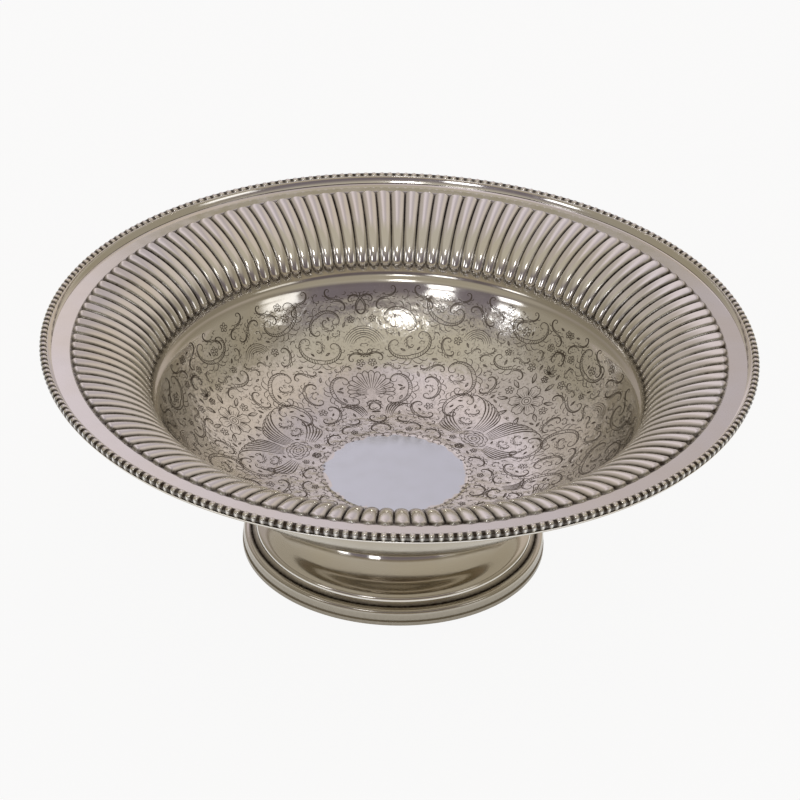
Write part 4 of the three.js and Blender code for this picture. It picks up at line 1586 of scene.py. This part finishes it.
class DISH_OT_set_stage(bpy.types.Operator):
    """Set the table, the soft studio light and the camera"""

    bl_idname = "dish.set_stage"
    bl_label = "Stage"

    def execute(self, context):
        stage = context.scene.dish_stage
        self.lay_table(stage)
        self.paint_room(context.scene, stage)
        for lamp in LAMPS:
            self.hang_lamp(context.scene, *lamp)
        self.place_camera(context.scene, stage)
        context.scene.view_settings.view_transform = "Standard"
        return {"FINISHED"}

    def lay_table(self, stage):
        """A pale round table that looks white and still takes the dish's shadow."""
        way = np.linspace(0, 2 * math.pi, TABLE_SIDES, endpoint=False)
        table = new_piece("table", around((TABLE_RADIUS, -TABLE_DROP), way), [tuple(range(TABLE_SIDES))])
        material, tree, shader = new_material("pale_table", 0.0)
        shader.inputs["Base Color"].default_value = (*stage.table, 1.0)
        shader.inputs["Roughness"].default_value = 0.8
        shader.inputs["Specular IOR Level"].default_value = 0.1
        rays = add(tree, "ShaderNodeLightPath").outputs
        seen = calc(tree, "MAXIMUM", rays["Is Camera Ray"], rays["Is Glossy Ray"])
        seen = calc(tree, "MAXIMUM", seen, rays["Is Transmission Ray"])
        white = add(tree, "ShaderNodeEmission", {"Color": (1.0, 1.0, 1.0, 1.0), "Strength": 1.0})
        part = calc(tree, "MULTIPLY", seen, TABLE_WHITE)
        both = add(tree, "ShaderNodeMixShader", {0: part, 1: shader.outputs[0], 2: white.outputs[0]})
        tree.links.new(both.outputs[0], tree.nodes["Material Output"].inputs["Surface"])
        table.data.materials.append(material)

    def paint_room(self, scene, stage):
        """A plain room in soft tones: walls, ceiling and a band at table height."""
        world = bpy.data.worlds.new("studio_room")
        world.use_nodes = True
        scene.world = world
        tree = world.node_tree
        across, to_back, up = axes_of(tree, add(tree, "ShaderNodeTexCoord").outputs["Generated"])
        aside = calc(tree, "ABSOLUTE", across)
        panel = mixed(tree, mapped(tree, across, *PANEL_BLEND, 0.0, 1.0), stage.back_left, stage.back_right)
        wide = mixed(tree, falling(tree, across, *FAR_LEFT_EDGE), stage.back_wide, stage.back_far)
        back = mixed(tree, rising(tree, aside, *PANEL_EDGE), panel, wide)
        spot = calc(tree, "MULTIPLY", falling(tree, aside, *LOW_SPOT_SIDE), falling(tree, up, *LOW_SPOT_TOP))
        spot = calc(tree, "MULTIPLY", spot, rising(tree, up, *LOW_SPOT_FOOT))
        back = mixed(tree, spot, back, stage.back_low)
        front = mixed(tree, rising(tree, up, *CEILING_EDGE), stage.front, stage.ceiling)
        front = mixed(tree, rising(tree, up, *FRONT_LOW_EDGE), stage.front_low, front)
        whole = mixed(tree, rising(tree, to_back, *FRONT_TO_BACK), front, back)
        whole = mixed(tree, rising(tree, aside, *SIDE_WALL_EDGE), whole, stage.sides)
        whole = mixed(tree, rising(tree, up, *HORIZON_EDGE), stage.low, whole)
        tree.links.new(whole, tree.nodes["Background"].inputs["Color"])

    def hang_lamp(self, scene, name, place, size, power):
        """A soft rectangular lamp that faces the dish."""
        lamp = bpy.data.lights.new(name, "AREA")
        lamp.shape = "RECTANGLE"
        lamp.size, lamp.size_y = size
        lamp.energy = power
        lamp_object = bpy.data.objects.new(name, lamp)
        aim = Vector(LAMP_AIM) - Vector(place)
        turn = aim.to_track_quat("-Z", "Y").to_matrix().to_4x4()
        lamp_object.matrix_world = Matrix.Translation(place) @ turn
        scene.collection.objects.link(lamp_object)

    def place_camera(self, scene, stage):
        """The camera at the photograph's angle."""
        lens = bpy.data.cameras.new("camera")
        lens.sensor_width = SENSOR
        lens.lens = stage.lens
        camera = bpy.data.objects.new("camera", lens)
        centre = Vector((0, 0, stage.aim))
        away = Vector((0, -math.cos(stage.elevation), math.sin(stage.elevation))) * stage.distance
        tilt = Matrix.Rotation(math.pi / 2 - stage.elevation, 4, "X")
        roll = Matrix.Rotation(stage.roll, 4, "Z")
        dip = Matrix.Rotation(-stage.dip, 4, "X")
        camera.matrix_world = Matrix.Translation(centre + away) @ tilt @ roll @ dip
        scene.collection.objects.link(camera)
        scene.camera = camera


class DISH_PT_panel(bpy.types.Panel):
    """Lists the operators and the properties of the dish"""

    bl_label = "Footed dish"
    bl_idname = "DISH_PT_panel"
    bl_space_type = "VIEW_3D"
    bl_region_type = "UI"
    bl_category = "Dish"

    def draw(self, context):
        for operator in OPERATORS:
            self.layout.operator(operator.bl_idname)
        for group in (context.scene.dish_sizes, context.scene.dish_colours, context.scene.dish_stage):
            box = self.layout.box()
            for name in group.__annotations__:
                box.prop(group, name)


OPERATORS = (
    DISH_OT_make_bowl,
    DISH_OT_engrave_well,
    DISH_OT_make_rim,
    DISH_OT_make_foot,
    DISH_OT_finish_seams,
    DISH_OT_set_stage,
)
CLASSES = (DishSizes, DishColours, DishStage, *OPERATORS, DISH_PT_panel)


def register():
    for cls in CLASSES:
        bpy.utils.register_class(cls)
    bpy.types.Scene.dish_sizes = PointerProperty(type=DishSizes)
    bpy.types.Scene.dish_colours = PointerProperty(type=DishColours)
    bpy.types.Scene.dish_stage = PointerProperty(type=DishStage)


def unregister():
    del bpy.types.Scene.dish_stage
    del bpy.types.Scene.dish_colours
    del bpy.types.Scene.dish_sizes
    for cls in reversed(CLASSES):
        bpy.utils.unregister_class(cls)


def main():
    register()
    bpy.ops.dish.make_bowl()
    bpy.ops.dish.engrave_well()
    bpy.ops.dish.make_rim()
    bpy.ops.dish.make_foot()
    bpy.ops.dish.finish_seams()
    bpy.ops.dish.set_stage()


if __name__ == "__main__":
    main()
